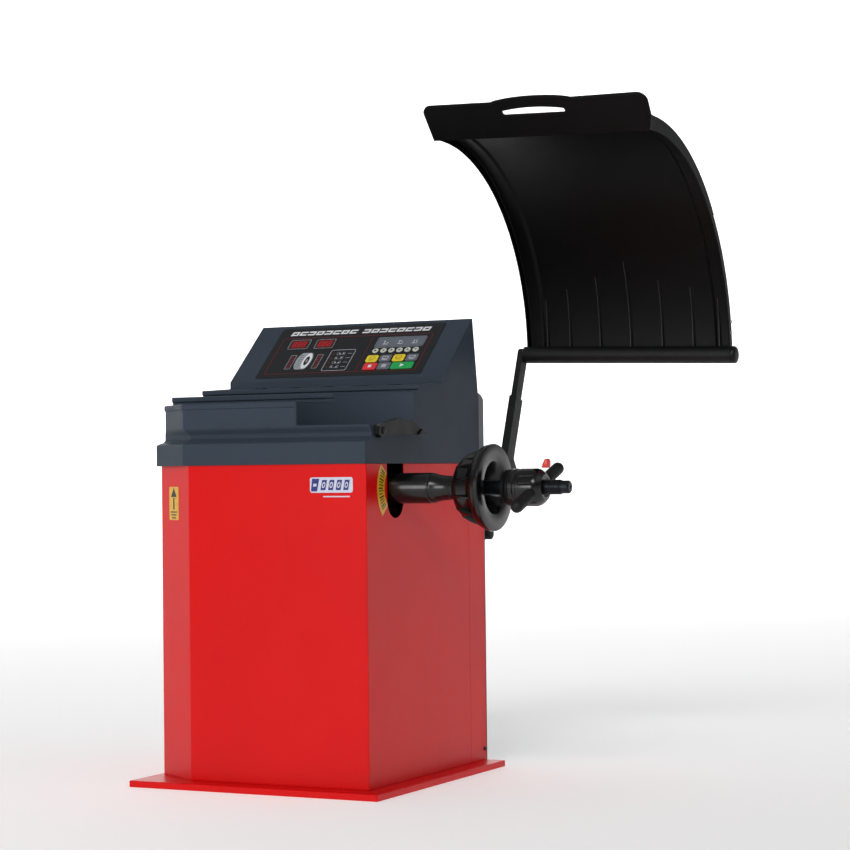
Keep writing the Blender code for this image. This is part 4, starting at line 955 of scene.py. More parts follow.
def make_panes():
    """Red pane inside each display's dark surround."""
    bm = bmesh.new()
    for centre, width, height in DISPLAYS:
        raised(bm, rounded(width - 0.016, height - 0.012, 0.0012, 4, centre), WINDOW_TOP + 0.00002, PANE_TOP)
    place("display_panes", bm, "window", "cabinet", 20)


def make_digits():
    """Dim seven-part figures on each red pane."""
    bm = bmesh.new()
    width, height, stroke = 0.0084, 0.0180, 0.0016
    for (centre_u, centre_v), _, _ in DISPLAYS:
        for k in range(3):
            u0 = centre_u + 0.0148 * (k - 1)
            for across, up, flat in SEGMENTS:
                lean = up * height / 2 * 0.10
                middle = (u0 + 2 * across * width / 2 + lean, centre_v + up * height / 2)
                size = (width - 0.0024, stroke) if flat else (stroke, height / 2 - 0.0026)
                raised(bm, bar(middle, *size, 0.0 if flat else 0.0004), PANE_TOP + 0.00002,
                       PANE_TOP + 0.00016)
            raised(bm, circle(0.0010, 12, (u0 + 0.0070, centre_v - height / 2)), PANE_TOP + 0.00002,
                   PANE_TOP + 0.00016)
    place("display_figures", bm, "segment", "cabinet", 20)


def make_key_marks():
    """A small plain symbol on each key, moving with it."""
    low, high = KEY_TOP + 0.00002, KEY_TOP + 0.00018
    for k in range(6):
        bm = bmesh.new()
        u, v = 0.0615 + 0.0242 * k, 0.1125
        up = 1 if k % 2 == 0 else -1
        raised(bm, [(u - 0.0042, v - 0.0022 * up), (u + 0.0042, v - 0.0022 * up), (u, v + 0.0044 * up)],
               low, high)
        place(f"mark_round_{k + 1}", bm, "print_dark", f"key_round_{k + 1}_cap", 20)
    for k in range(4):
        bm = bmesh.new()
        u, v = 0.0645 + 0.0400 * k, 0.0785
        frame = [[PANEL @ Vector((a, b, n)) for a, b in rounded(w, h, 0.002, 4, (u, v + 0.002))]
                 for w, h, n in ((0.0180, 0.0100, low), (0.0180, 0.0100, high), (0.0156, 0.0076, high),
                                 (0.0156, 0.0076, low))]
        skin(bm, frame, closed=True)
        raised(bm, bar((u, v - 0.0070), 0.0150, 0.0014), low, high)
        place(f"mark_square_{k + 1}", bm, ("print_dark", "print_white")[k % 2], f"key_square_{k + 1}_cap", 20)
    stop = bmesh.new()
    raised(stop, rounded(0.0100, 0.0100, 0.0010, 3, (0.0700, 0.0460)), low, high)
    place("mark_stop", stop, "print_white", "key_stop_cap", 20)
    menu = bmesh.new()
    for k in range(3):
        raised(menu, bar((0.1120, 0.0410 + 0.0050 * k), 0.0140, 0.0018), low, high)
    place("mark_menu", menu, "print_white", "key_menu_cap", 20)
    start = bmesh.new()
    raised(start, [(0.1610, 0.0395), (0.1735, 0.0460), (0.1610, 0.0525)], low, high)
    place("mark_start", start, "print_white", "key_start_cap", 20)


def dress_panel():
    dress("control_membrane", "membrane")
    for name in ("display_left", "display_right"):
        dress(name, "print_dark")
    for k in range(6):
        dress(f"key_round_{k + 1}", "key_white", 0.0006)
    for k in range(4):
        dress(f"key_square_{k + 1}", ("key_yellow", "key_grey")[k % 2], 0.0006)
    dress("key_stop", "key_red", 0.0006)
    dress("key_menu", "key_grey", 0.0006)
    dress("key_start", "key_green", 0.0006)
    make_title()
    make_panel_lines()
    make_lamps()
    make_mode_marks()
    make_wheel_picture()
    make_grey_plate()
    make_panes()
    make_digits()
    make_key_marks()


# ---- badge and labels -------------------------------------------------------------------------
def on_front(bm, outline, low, high):
    """Add a flat piece on the cabinet's front; the outline is (x, z)."""
    return skin(bm, [[(x, FRONT - n, z) for x, z in outline] for n in (low, high)])


def make_badge():
    """Plain badge of blue and silver shapes in place of the maker's."""
    middle = (0.2055, 0.7605)
    base = bmesh.new()
    on_front(base, rounded(0.1200, 0.0380, 0.0060, 6, middle), 0.0002, 0.0012)
    place("badge_base", base, "badge_silver", "cabinet", 30)
    blue = bmesh.new()
    x0 = middle[0] - 0.057
    on_front(blue, [(x0, middle[1] - 0.0155), (x0 + 0.0170, middle[1] - 0.0155),
                    (x0 + 0.0235, middle[1] + 0.0155),
                    (x0 + 0.0035, middle[1] + 0.0155)], 0.0013, 0.0017)
    for k in range(4):
        x = x0 + 0.0270 + 0.0212 * k
        on_front(blue, [(x, middle[1] - 0.0125), (x + 0.0135, middle[1] - 0.0125),
                        (x + 0.0185, middle[1] + 0.0125),
                        (x + 0.0050, middle[1] + 0.0125)], 0.0013, 0.0017)
    place("badge_blocks", blue, "badge_blue", "cabinet", 30)
    light = bmesh.new()
    for k in range(4):
        x = x0 + 0.0270 + 0.0212 * k
        centre = (x + 0.0092, middle[1])
        outer, inner = ellipse(centre, 0.0047, 0.0075, 0.2, 20), ellipse(centre, 0.0024, 0.0042, 0.2, 20)
        rings = [[(a, FRONT - n, b) for a, b in shape] for shape, n in
                 ((outer, 0.0018), (outer, 0.0021), (inner, 0.0021), (inner, 0.0018))]
        skin(light, rings, closed=True)
    on_front(light, [(x0 + 0.0060, middle[1] - 0.0035), (x0 + 0.0150, middle[1] - 0.0035),
                     (x0 + 0.0165, middle[1] + 0.0035), (x0 + 0.0075, middle[1] + 0.0035)], 0.0018, 0.0021)
    place("badge_rings", light, "badge_silver", "cabinet", 30)
    line = bmesh.new()
    on_front(line, rounded(0.0750, 0.0030, 0.0014, 4, (middle[0] + 0.014, middle[1] - 0.0285)), 0.0002,
             0.0008)
    place("badge_line", line, "badge_silver", "cabinet", 30)


def make_chamfer_label():
    """Yellow label with a plain arrow symbol on the chamfered corner."""
    start = Vector((LEFT + CHAMFER[0], FRONT, 0.0))
    along = Vector((-CHAMFER[0], CHAMFER[1], 0.0)).normalized()
    out = Vector((-CHAMFER[1], -CHAMFER[0], 0.0)).normalized()

    def flat(bm, outline, low, high):
        return skin(bm, [[start + along * a + out * n + Vector((0, 0, b)) for a,
                          b in outline] for n in (low, high)])
    base = bmesh.new()
    flat(base, rounded(0.0530, 0.0850, 0.0030, 5, (0.0850, 0.7165)), 0.0002, 0.0007)
    place("corner_label", base, "label_yellow", "cabinet", 30)
    marks = bmesh.new()
    flat(marks, [(0.0690, 0.7330), (0.1010, 0.7330), (0.0850, 0.7560)], 0.0008, 0.0011)
    flat(marks, rounded(0.0070, 0.0300, 0.0010, 3, (0.0850, 0.7160)), 0.0008, 0.0011)
    for k in range(3):
        flat(marks, rounded(0.0360 - 0.006 * k, 0.0032, 0.0008, 3, (0.0850, 0.6945 - 0.0075 * k)), 0.0008,
             0.0011)
    place("corner_label_marks", marks, "print_dark", "cabinet", 30)


def make_slot_label():
    """Yellow band round the spindle's slot, with plain dark ticks."""
    first, last, inner, outer = math.radians(142), math.radians(224), 0.060, 0.098
    x = RIGHT

    def arc(bm, low_turn, high_turn, low_r, high_r, low, high):
        steps = max(2, int((high_turn - low_turn) * 24))
        turns = [low_turn + (high_turn - low_turn) * k / steps for k in range(steps + 1)]
        shape = [(low_r, t) for t in turns] + [(high_r, t) for t in reversed(turns)]
        rings = [[(x + n, SPINDLE_Y + r * math.cos(t), SPINDLE_Z + r * math.sin(t)) for r, t in shape]
                 for n in (low, high)]
        return skin(bm, rings)
    band = bmesh.new()
    arc(band, first, last, inner, outer, 0.0002, 0.0006)
    place("slot_label", band, "label_yellow", "cabinet", 30)
    ticks = bmesh.new()
    for k in range(14):
        turn = first + (last - first) * (k + 0.8) / 15.5
        width = 0.030 + 0.016 * (k % 3 == 0)
        low_r = inner + (0.006 if k % 2 else 0.010)
        arc(ticks, turn, turn + width, low_r, outer - 0.009, 0.0007, 0.0009)
    place("slot_label_marks", ticks, "print_dark", "cabinet", 30)


# ---- spindle ----------------------------------------------------------------------------------
THREAD_PITCH = 0.0040
THREAD_DEPTH = 0.0012


def make_thread(bm, start, end, crest):
    """A trapezoid thread round the spindle, one helical skin closed by its two ends."""
    around, profile = 56, ((0.0, 0.0), (0.36, 0.0), (0.50, 1.0), (0.86, 1.0))
    turns = int((end - start) / THREAD_PITCH) + 3
    rows = []
    for turn in range(-2, turns):
        for share, depth in profile:
            row = []
            for k in range(around):
                x = start + THREAD_PITCH * (turn + share + k / around)
                held = min(max(x, start), end)
                radius = crest - THREAD_DEPTH * (depth if start < x < end else 1.0)
                angle = 2 * math.pi * k / around
                row.append(bm.verts.new((held, SPINDLE_Y + radius * math.cos(angle),
                                         SPINDLE_Z + radius * math.sin(angle))))
            rows.append(row)
    step = len(profile)
    for i in range(len(rows) - 1):
        for k in range(around):
            here, there = rows[i], rows[i + 1]
            if k < around - 1:
                bm.faces.new((here[k], here[k + 1], there[k + 1], there[k]))
            elif i + step + 1 < len(rows):
                bm.faces.new((here[k], rows[i + step][0], rows[i + step + 1][0], there[k]))
    bmesh.ops.remove_doubles(bm, verts=bm.verts, dist=0.000002)
    bmesh.ops.dissolve_degenerate(bm, dist=0.000002, edges=bm.edges)
    loose = [v for v in bm.verts if not v.link_faces]
    bmesh.ops.delete(bm, geom=loose, context="VERTS")
    open_edges = [e for e in bm.edges if e.is_boundary]
    bmesh.ops.holes_fill(bm, edges=open_edges, sides=0)
    return bm


def make_shaft():
    """Plain shaft up to the nut's thread, and the thread up to the chamfered tip."""
    bm = bmesh.new()
    r, plain = SHAFT_R, HUB_HIGH.x - 0.066
    turned([(SHAFT_LOW.x, 0.0), (SHAFT_LOW.x, r - 0.001), (SHAFT_LOW.x + 0.001, r), (plain - 0.001, r),
            (plain, r - 0.001), (plain, 0.0)], 72, bm=bm)
    tip = SHAFT_END
    turned([(tip - 0.0238, 0.0), (tip - 0.0238, r - 0.0030), (tip - 0.0225, r - 0.0022),
            (tip - 0.0036, r - 0.0022),
            (tip - 0.0012, r - 0.0042), (tip, r - 0.0062), (tip, 0.0045), (tip - 0.0040, 0.0030),
            (tip - 0.0045, 0.0)],
           72, bm=bm)
    make_thread(bm, plain + 0.0001, tip - 0.0240, r)
    place("threaded_spindle", bm, "blued_steel", "spindle", 24, ["spindle_shaft"])


def make_hub():
    """Flange hub with its bowl, a ribbed back and a dished front."""
    bore, rim, face = SHAFT_R + GAP, (HUB_HIGH.z - HUB_LOW.z) / 2, HUB_HIGH.x
    start = HUB_LOW.x
    outer = [(start, 0.0330), (start + 0.0006, 0.0345), (start + 0.0040, 0.0390), (start + 0.0058, 0.0460),
             (start + 0.0090, 0.0560), (start + 0.0145, 0.0650), (start + 0.0220, 0.0715),
             (start + 0.0310, 0.0750),
             (start + 0.0420, 0.0762), (start + 0.0540, 0.0770), (start + 0.0595, 0.0800),
             (start + 0.0650, 0.0870),
             (start + 0.0715, 0.0960), (start + 0.0770, 0.1015), (start + 0.0830, 0.1045),
             (face - 0.0110, rim - 0.0010),
             (face - 0.0098, rim), (face - 0.0024, rim), (face - 0.0008, rim - 0.0009), (face, rim - 0.0028)]
    inner = [(face, 0.0680), (face - 0.0010, 0.0660), (face - 0.0045, 0.0630), (face - 0.0200, 0.0560),
             (face - 0.0360, 0.0500), (face - 0.0500, 0.0430), (face - 0.0620, 0.0390),
             (face - 0.0665, 0.0370),
             (face - 0.0672, 0.0340), (face - 0.0675, bore + 0.0010), (face - 0.0685, bore), (start, bore)]
    bm = turned(outer + inner, 144)
    place("hub_casting", bm, "black_enamel", "spindle", 28, ["flange_hub"])
    ribs = bmesh.new()
    count, half = 12, 0.0024
    for k in range(count):
        turn = 2 * math.pi * (k + 0.5) / count
        radial = Vector((0.0, math.cos(turn), math.sin(turn)))
        side = Vector((1.0, 0.0, 0.0)).cross(radial)
        shape = [(start + 0.0140, 0.0630), (start + 0.0200, 0.0740), (start + 0.0420, 0.0860),
                 (start + 0.0660, 0.0945),
                 (start + 0.0720, 0.0955), (start + 0.0600, 0.0785), (start + 0.0330, 0.0740)]
        shape = fillet(shape, [0, 0.004, 0.006, 0.001, 0, 0, 0], 4)
        middle = Vector((0.0, SPINDLE_Y, SPINDLE_Z))
        rings = []
        for share, pinch in ((-1.0, 0.0010), (-0.7, 0.0), (0.7, 0.0), (1.0, 0.0010)):
            rings.append([middle + Vector((x, 0, 0)) + radial * (r - pinch) + side * (half * share) for x,
                          r in shape])
        skin(ribs, rings)
    place("hub_ribs", ribs, "black_enamel", "spindle", 40)


def make_housing():
    """Bearing housing with turned collars and a taper at its free end."""
    low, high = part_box("spindle_housing")
    r, start, end = (high.z - low.z) / 2, low.x, high.x
    profile = [(start, r - 0.0010), (start + 0.0010, r), (0.404, r), (0.4055, r - 0.0004),
               (0.4065, r - 0.0016),
               (0.4080, r - 0.0018), (0.4095, r - 0.0016), (0.4105, r - 0.0008), (0.4130, r - 0.0012),
               (0.4180, r - 0.0030), (0.4300, r - 0.0058), (0.4460, r - 0.0078), (0.4540, r - 0.0082),
               (end - 0.0120, r - 0.0082), (end - 0.0110, r - 0.0088), (end - 0.0100, r - 0.0082),
               (end - 0.0020, r - 0.0082), (end, r - 0.0098), (end, 0.0215), (0.4045, 0.0215),
               (0.4045, 0.0313),
               (start, 0.0313)]
    place("bearing_housing", turned(profile, 112), "black_enamel", "cabinet", 28, ["spindle_housing"])


def dress_drive():
    dress("spindle_pulley", "black_plastic", 0.0004)
    dress("encoder_disc", "steel")
    dress("motor_pulley", "zinc", 0.0003)
    dress("drive_motor", "zinc", 0.0008)
    dress("spindle_pedestal", "zinc", 0.0010)
    dress("rear_bearing", "steel", 0.0006)
    dress("front_bearing", "steel", 0.0006)
    for name in ("rear_force_sensor", "front_force_sensor"):
        dress(name, "steel", 0.0006)
    dress("encoder_sensor", "black_plastic", 0.0008)
    dress("control_board", "circuit", 0.0004)
    dress("power_board", "circuit", 0.0006)
    make_belt()


def make_belt():
    """Ribbed belt with the same loop as its plain node."""
    low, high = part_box("drive_belt")
    motor_low, motor_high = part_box("drive_motor")
    motor = Vector(((motor_low.y + motor_high.y) / 2, (motor_low.z + motor_high.z) / 2))
    spindle = Vector((SPINDLE_Y, SPINDLE_Z))
    big, small = 0.060, 0.020
    span = spindle - motor
    lean = math.asin((big - small) / span.length)
    course = math.atan2(span.y, span.x)
    count, ribs = 40, 5
    width = high.x - low.x
    section = [(low.x, 0.0032)]
    for k in range(ribs):
        x = low.x + width * k / ribs
        section += [(x + width * 0.06 / ribs, 0.0007), (x + width * 0.44 / ribs, 0.0007),
                    (x + width * 0.62 / ribs, 0.0020), (x + width * 0.88 / ribs, 0.0020)]
    section += [(high.x, 0.0007), (high.x, 0.0032)]
    rings = []
    for centre, radius, start, turn in ((spindle, big, course - math.pi / 2 - lean, math.pi + 2 * lean),
                                        (motor, small, course + math.pi / 2 + lean, math.pi - 2 * lean)):
        for k in range(count + 1):
            angle = start + turn * k / count
            rings.append([(x, centre.x + (radius + reach) * math.cos(angle),
                           centre.y + (radius + reach) * math.sin(angle))
                          for x, reach in section])
    place("ribbed_belt", loft(rings, closed=True), "rubber", "cabinet", 30, ["drive_belt"])


# ---- quick nut --------------------------------------------------------------------------------
GRIP_X = 0.690
GRIP_TURN = math.radians(20)
GRIP_REACH = 0.146
NUT_R = 0.046


def make_cup():
    """Pressure cup that bears on the wheel's cone."""
    low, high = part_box("nut_pressure_cup")
    a, b, bore = low.x, high.x, SHAFT_R + 0.0006
    profile = [(a, 0.0400), (a + 0.0010, 0.0416), (a + 0.0030, 0.0435), (a + 0.0105, 0.0435),
               (a + 0.0115, 0.0440),
               (a + 0.0130, 0.0455), (a + 0.0145, 0.0460), (b - 0.0012, 0.0460), (b, 0.0448),
               (b, bore + 0.001),
               (b - 0.001, bore), (a + 0.0140, bore), (a + 0.0130, bore + 0.001), (a + 0.0130, 0.0345),
               (a + 0.0120, 0.0360), (a + 0.0008, 0.0370), (a, 0.0380)]
    place("pressure_cup_ring", turned(profile, 96), "black_plastic", "pressure_cup", 28, ["nut_pressure_cup"])


def make_nut_body():
    """Nut body with a ribbed waist and a shouldered nose; the flutes stop short of where the two grips stand.
    """
    a, b, r, bore = NUT_LOW.x, NUT_HIGH.x, NUT_R, SHAFT_R + 0.0006
    groove = a + 0.016
    profile = [(a, r - 0.0015), (a + 0.0012, r), (groove - 0.0050, r), (groove - 0.0040, r - 0.0006),
               (groove - 0.0030, r - 0.0022), (groove + 0.0030, r - 0.0022), (groove + 0.0040, r - 0.0006),
               (groove + 0.0050, r), (b - 0.0220, r), (b - 0.0180, r - 0.0006), (b - 0.0130, r - 0.0026),
               (b - 0.0080, r - 0.0058), (b - 0.0040, r - 0.0098), (b - 0.0012, r - 0.0128), (b, r - 0.0148),
               (b, bore + 0.0060), (b - 0.0020, bore + 0.0040), (b - 0.0025, bore + 0.0008),
               (b - 0.0030, bore), (a, bore)]
    body = rough("nut", turned(profile, 112))
    flutes = bmesh.new()
    for k in range(16):
        turn = 2 * math.pi * (k + 0.5) / 16
        gap = min(abs((turn - GRIP_TURN - side + math.pi) % (2 * math.pi) - math.pi) for side in (0.0,
                                                                                                  math.pi))
        if gap < 0.5 or abs((turn - math.pi / 2 + math.pi) % (2 * math.pi) - math.pi) < 0.42:
            continue
        centre = (SPINDLE_Y + (r + 0.0025) * math.cos(turn), SPINDLE_Z + (r + 0.0025) * math.sin(turn))
        turned([(groove + 0.0105, 0.0), (groove + 0.0105, 0.0030), (groove + 0.0130, 0.0052),
                (b - 0.0180, 0.0052),
                (b - 0.0120, 0.0040), (b - 0.0100, 0.0)], 20, centre, flutes)
    combine(body, rough("flutes", flutes), "DIFFERENCE")
    settle(body, "black_enamel", "quick_nut", 30, ["quick_nut_body"])


def on_spoke(bm, profile, turn, segments=40):
    """Turn a profile of (distance, radius) about a spoke that leaves the spindle at an angle."""
    spoke = Vector((0.0, math.cos(turn), math.sin(turn)))
    across = Vector((1.0, 0.0, 0.0))
    other = across.cross(spoke)
    start = Vector((GRIP_X, SPINDLE_Y, SPINDLE_Z))
    inner = profile[1:-1]
    rings = []
    for distance, radius in inner:
        rings.append([start + spoke * distance + across * (radius * math.cos(t))
                      + other * (radius * math.sin(t))
                      for t in (2 * math.pi * k / segments for k in range(segments))])
    return skin(bm, rings)


def make_grips():
    """Steel stubs with rubber sleeves that have finger rings and a domed end."""
    start, end = NUT_R + GAP, GRIP_REACH
    for name, turn, node in (("grip_back", GRIP_TURN, "nut_grip_back"),
                             ("grip_front", GRIP_TURN + math.pi, "nut_grip_front")):
        sleeve = bmesh.new()
        profile = [(start + 0.0072, 0.0), (start + 0.0072, 0.0135), (start + 0.0080, 0.0150),
                   (start + 0.0095, 0.0155),
                   (start + 0.0125, 0.0155)]
        ring = start + 0.0160
        while ring < end - 0.030:
            profile += [(ring, 0.0155), (ring + 0.0008, 0.0148), (ring + 0.0022, 0.0148),
                        (ring + 0.0030, 0.0155)]
            ring += 0.0090
        profile += [(end - 0.0160, 0.0155), (end - 0.0105, 0.0146), (end - 0.0060, 0.0124),
                    (end - 0.0025, 0.0088),
                    (end - 0.0006, 0.0042), (end - 0.0001, 0.0012), (end, 0.0)]
        on_spoke(sleeve, profile, turn)
        place(name, sleeve, "rubber", "quick_nut", 28, [node])
        stub = bmesh.new()
        on_spoke(stub, [(start, 0.0), (start, 0.0120), (start + 0.0008, 0.0130), (start + 0.0056, 0.0130),
                        (start + 0.0070, 0.0118), (start + 0.0070, 0.0)], turn)
        place(name + "_stub", stub, "blued_steel", "quick_nut", 28)


def make_lever():
    """Red release lever with a round thumb pad and a steel pivot pin."""
    low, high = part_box("nut_release_lever")
    foot = low.z
    outline = [(low.x, foot + 0.0024), (low.x + 0.0030, foot + 0.0002), (high.x - 0.0035, foot),
               (high.x, foot + 0.0042),
               (high.x - 0.0003, high.z - 0.0050), (high.x - 0.0042, high.z),
               (high.x - 0.0090, high.z - 0.0002),
               (high.x - 0.0130, high.z - 0.0075)]
    outline = fillet(outline, [0.001, 0.002, 0.002, 0.003, 0.003, 0.0022, 0.002, 0.003], 4)
    half = (high.y - low.y) / 2
    middle = (high.y + low.y) / 2
    centre = Vector(((low.x + high.x) / 2, (low.z + high.z) / 2))
    rings = []
    for share, scale in ((-1.0, 0.80), (-0.93, 0.92), (-0.78, 0.985), (-0.60, 1.0), (0.60, 1.0),
                         (0.78, 0.985),
                         (0.93, 0.92), (1.0, 0.80)):
        ring = []
        for x, z in outline:
            shifted = centre + (Vector((x, z)) - centre) * scale
            ring.append((shifted.x, middle + half * share, shifted.y))
        rings.append(ring)
    place("release_lever", loft(rings), "lever_red", "release_lever", 40, ["nut_release_lever"])
    pin = bmesh.new()
    turn = Matrix.Translation((0.7052, middle - half - 0.0012, foot + 0.0052))
    profile = [(0.0022, 0.0), (0.0026, 0.0004), (0.0026, 2 * half + 0.0020), (0.0022, 2 * half + 0.0024)]
    rings = [[turn @ Vector((r * math.cos(a), h, r * math.sin(a))) for a in
              (2 * math.pi * k / 20 for k in range(20))] for r, h in profile]
    skin(pin, rings)
    place("release_pin", pin, "steel", "release_lever", 40)


# ---- gauge ------------------------------------------------------------------------------------
def make_gauge():
    """Moulded gauge arm with a rounded section, a boss on its rod and a steel tip."""
    low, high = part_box("gauge_arm")
    soften(NODES["gauge_arm"], 0.0028, 4, 28)
    dress("gauge_arm", "black_plastic")
    NODES["gauge_arm"].data.shade_smooth()
    NODES["gauge_arm"].data.set_sharp_from_angle(angle=math.radians(40))
    boss = bmesh.new()
    centre = GAUGE_CENTRE
    turned([(low.x + 0.0141, 0.0), (low.x + 0.0141, 0.0085), (low.x + 0.0150, 0.0092),
            (low.x + 0.0165, 0.0086),
            (low.x + 0.0172, 0.0060), (low.x + 0.0172, 0.0)], 36, centre, boss)
    place("gauge_boss", boss, "black_plastic", "gauge_pointer", 30)
    dress("gauge_rod", "steel", 0.0005)
    dress("gauge_guide", "zinc", 0.0004)
    ticks = bmesh.new()
    rod = 0.006
    for k in range(22):
        x = 0.070 + 0.0100 * k
        turned([(x, 0.0), (x, rod + 0.00004), (x + 0.0005, rod + 0.00004), (x + 0.0005, 0.0)], 32, centre,
               ticks)
    place("gauge_scale", ticks, "print_dark", "gauge_slide", 40)


# ---- wheel guard ------------------------------------------------------------------------------
def drooped(bm):
    """Lower everything steadily towards the guard's free end."""
    start = Matrix.Translation((RAIL_START, RAIL_Y, RAIL_Z))
    slant = Matrix.Identity(4)
    slant[2][0] = -math.tan(GUARD_DROOP)
    bm.transform(start @ slant @ start.inverted())
    return bm


def guard_outline():
    """Cross-section of the shell as (x, radius), with moulded radii."""
    left, right, wall = GUARD_LEFT, GUARD_RIGHT, GUARD_WALL
    border, rise = 0.040, 0.006
    outer = [((left, GUARD_R), 0.0014), ((left, GUARD_SKIN_R), 0.0070),
             ((left + border, GUARD_SKIN_R), 0.0070),
             ((left + border + rise, GUARD_SKIN_R + rise), 0.0070)]
    inner = [((left + wall, GUARD_R), 0.0014), ((left + wall, GUARD_SKIN_R - wall), 0.0032),
             ((left + border + 0.002, GUARD_SKIN_R - wall), 0.0070),
             ((left + border + rise + 0.002, GUARD_SKIN_R + rise - wall), 0.0070)]

    def mirrored(rows):
        return [((left + right - x, r), soft) for (x, r), soft in reversed(rows)]
    rows = outer + mirrored(outer) + list(reversed(inner + mirrored(inner)))
    return fillet([point for point, _ in rows], [soft for _, soft in rows], 4)


def on_arc(radius, turn):
    return (GUARD_CENTRE[0] + radius * math.cos(turn), GUARD_CENTRE[1] + radius * math.sin(turn))


LIP_ALONG = Vector((-math.cos(LIP_LEAN), math.sin(LIP_LEAN)))
LIP_OUT = Vector((-LIP_ALONG.y, LIP_ALONG.x))
LIP_START = Vector(LIP_FOOT)


def lip_outline(steps=10):
    """Outline of the lip in its own plane, as (x, distance up the lip)."""
    left, right, corner = GUARD_LEFT, GUARD_RIGHT + LIP_FLARE, 0.025
    low, high = LIP_LENGTH
    points = [(left, 0.0), (left, low - corner)]
    for k in range(1, steps + 1):
        turn = math.radians(180 - 90 * k / steps)
        points.append((left + corner + corner * math.cos(turn), low - corner + corner * math.sin(turn)))
    half, rise = 0.108, 0.012
    count = 28
    for k in range(count + 1):
        share = -1 + 2 * k / count
        x = SLOT_X + half * share
        length = low + (high - low) * max(0.0, x - LIP_RISE_FROM) / (right - LIP_RISE_FROM)
        points.append((x, length + rise * (1 - share ** 2) ** 0.75))
    for k in range(steps + 1):
        turn = math.radians(90 - 90 * k / steps)
        points.append((right - corner + corner * math.cos(turn), high - corner + corner * math.sin(turn)))
    return points + [(right - 0.003, 0.045), (GUARD_RIGHT, 0.0)]


def slot_outline(extra):
    """Hand slot with a straight lower edge and an arched upper one, grown by an amount."""
    half, low, end, middle = 0.084 + extra, 0.068 - extra, 0.0120 + 2 * extra, 0.0200 + 2 * extra
    count = 16
    corners = [(SLOT_X - half, low), (SLOT_X + half, low)]
    top = []
    for k in range(count + 1):
        share = 1 - 2 * k / count
        top.append((SLOT_X + half * share, low + end + (middle - end) * (1 - share ** 2)))
    soft = [end * 0.46, end * 0.46, end * 0.46] + [0.0] * (count - 1) + [end * 0.46]
    return fillet(corners + top, soft, 6)


def lip_place():
    turn = Matrix(((1.0, 0.0, 0.0), (0.0, LIP_ALONG.x, LIP_ALONG.y),
                   (0.0, -LIP_OUT.x, -LIP_OUT.y))).transposed()
    return Matrix.Translation((0.0, LIP_START.x, LIP_START.y)) @ turn.to_4x4()


def make_guard_shell():
    """Curved shell with flanged sides, a raised middle and the upturned lip with its hand slot."""
    steps, start, end = 96, math.radians(-0.8), math.radians(96.5)
    section = guard_outline()
    rings = []
    for k in range(steps + 1):
        turn = start + (end - start) * k / steps
        rings.append([(x, *on_arc(r, turn)) for x, r in section])
    shell = rough("shell", loft(rings))
    seat = circle(RAIL_R + GAP, 48, (RAIL_Y, RAIL_Z))
    combine(shell, rough("seat", prism(seat, "X", GUARD_LEFT - 0.02, GUARD_RIGHT + 0.05)), "DIFFERENCE")
    trim = [LIP_START - LIP_ALONG * 0.05, LIP_START + LIP_ALONG * 0.15,
            LIP_START + LIP_ALONG * 0.15 + LIP_OUT * 0.1,
            LIP_START - LIP_ALONG * 0.05 + LIP_OUT * 0.1]
    combine(shell, rough("trim", prism([tuple(p) for p in trim], "X", GUARD_LEFT - 0.02, GUARD_RIGHT + 0.02)),
            "DIFFERENCE")
    lip = rough("lip", prism(lip_outline(), "Z", -0.0002, GUARD_WALL - 0.0002))
    slot = slot_outline(0.0)
    combine(lip, rough("slot", prism(slot, "Z", -0.02, 0.02)), "DIFFERENCE")
    lip.data.transform(lip_place())
    if lip_place().determinant() < 0:
        lip.data.flip_normals()
    combine(shell, lip, "UNION")
    for x in (GUARD_LEFT, GUARD_RIGHT - GUARD_WALL):
        combine(shell, rough("cheek", make_cheek(x)), "UNION")
    bm = bmesh.new()
    bm.from_mesh(shell.data)
    drooped(bm)
    bm.to_mesh(shell.data)
    bm.free()
    shell.name = "hood_shell"
    merge = shell.modifiers.new("merge", "WELD")
    merge.merge_threshold = 0.00001
    bevel = shell.modifiers.new("edge", "BEVEL")
    bevel.width = 0.0009
    bevel.segments = 2
    bevel.limit_method = "ANGLE"
    bevel.angle_limit = math.radians(50)
    flatten_shading(shell)
    settle(shell, "hood", "wheel_guard", 30, ["guard_shell"])


def make_cheek(x):
    """Side wall that deepens towards the lip and fills the corner behind it."""
    outline = [tuple(LIP_START + LIP_ALONG * share - LIP_OUT * 0.001) for share in (0.004, 0.062)]
    steps, start, reach, depth = 24, math.radians(93), math.radians(52), 0.013
    for k in range(1, steps + 1):
        radius = GUARD_SKIN_R - 0.001 + depth * (1 - k / steps)
        outline.append(on_arc(radius, start - reach * k / steps))
    outline += [on_arc(GUARD_SKIN_R - 0.006, start - reach * k / steps) for k in range(steps, -1, -1)]
    return prism(outline, "X", x, x + GUARD_WALL)


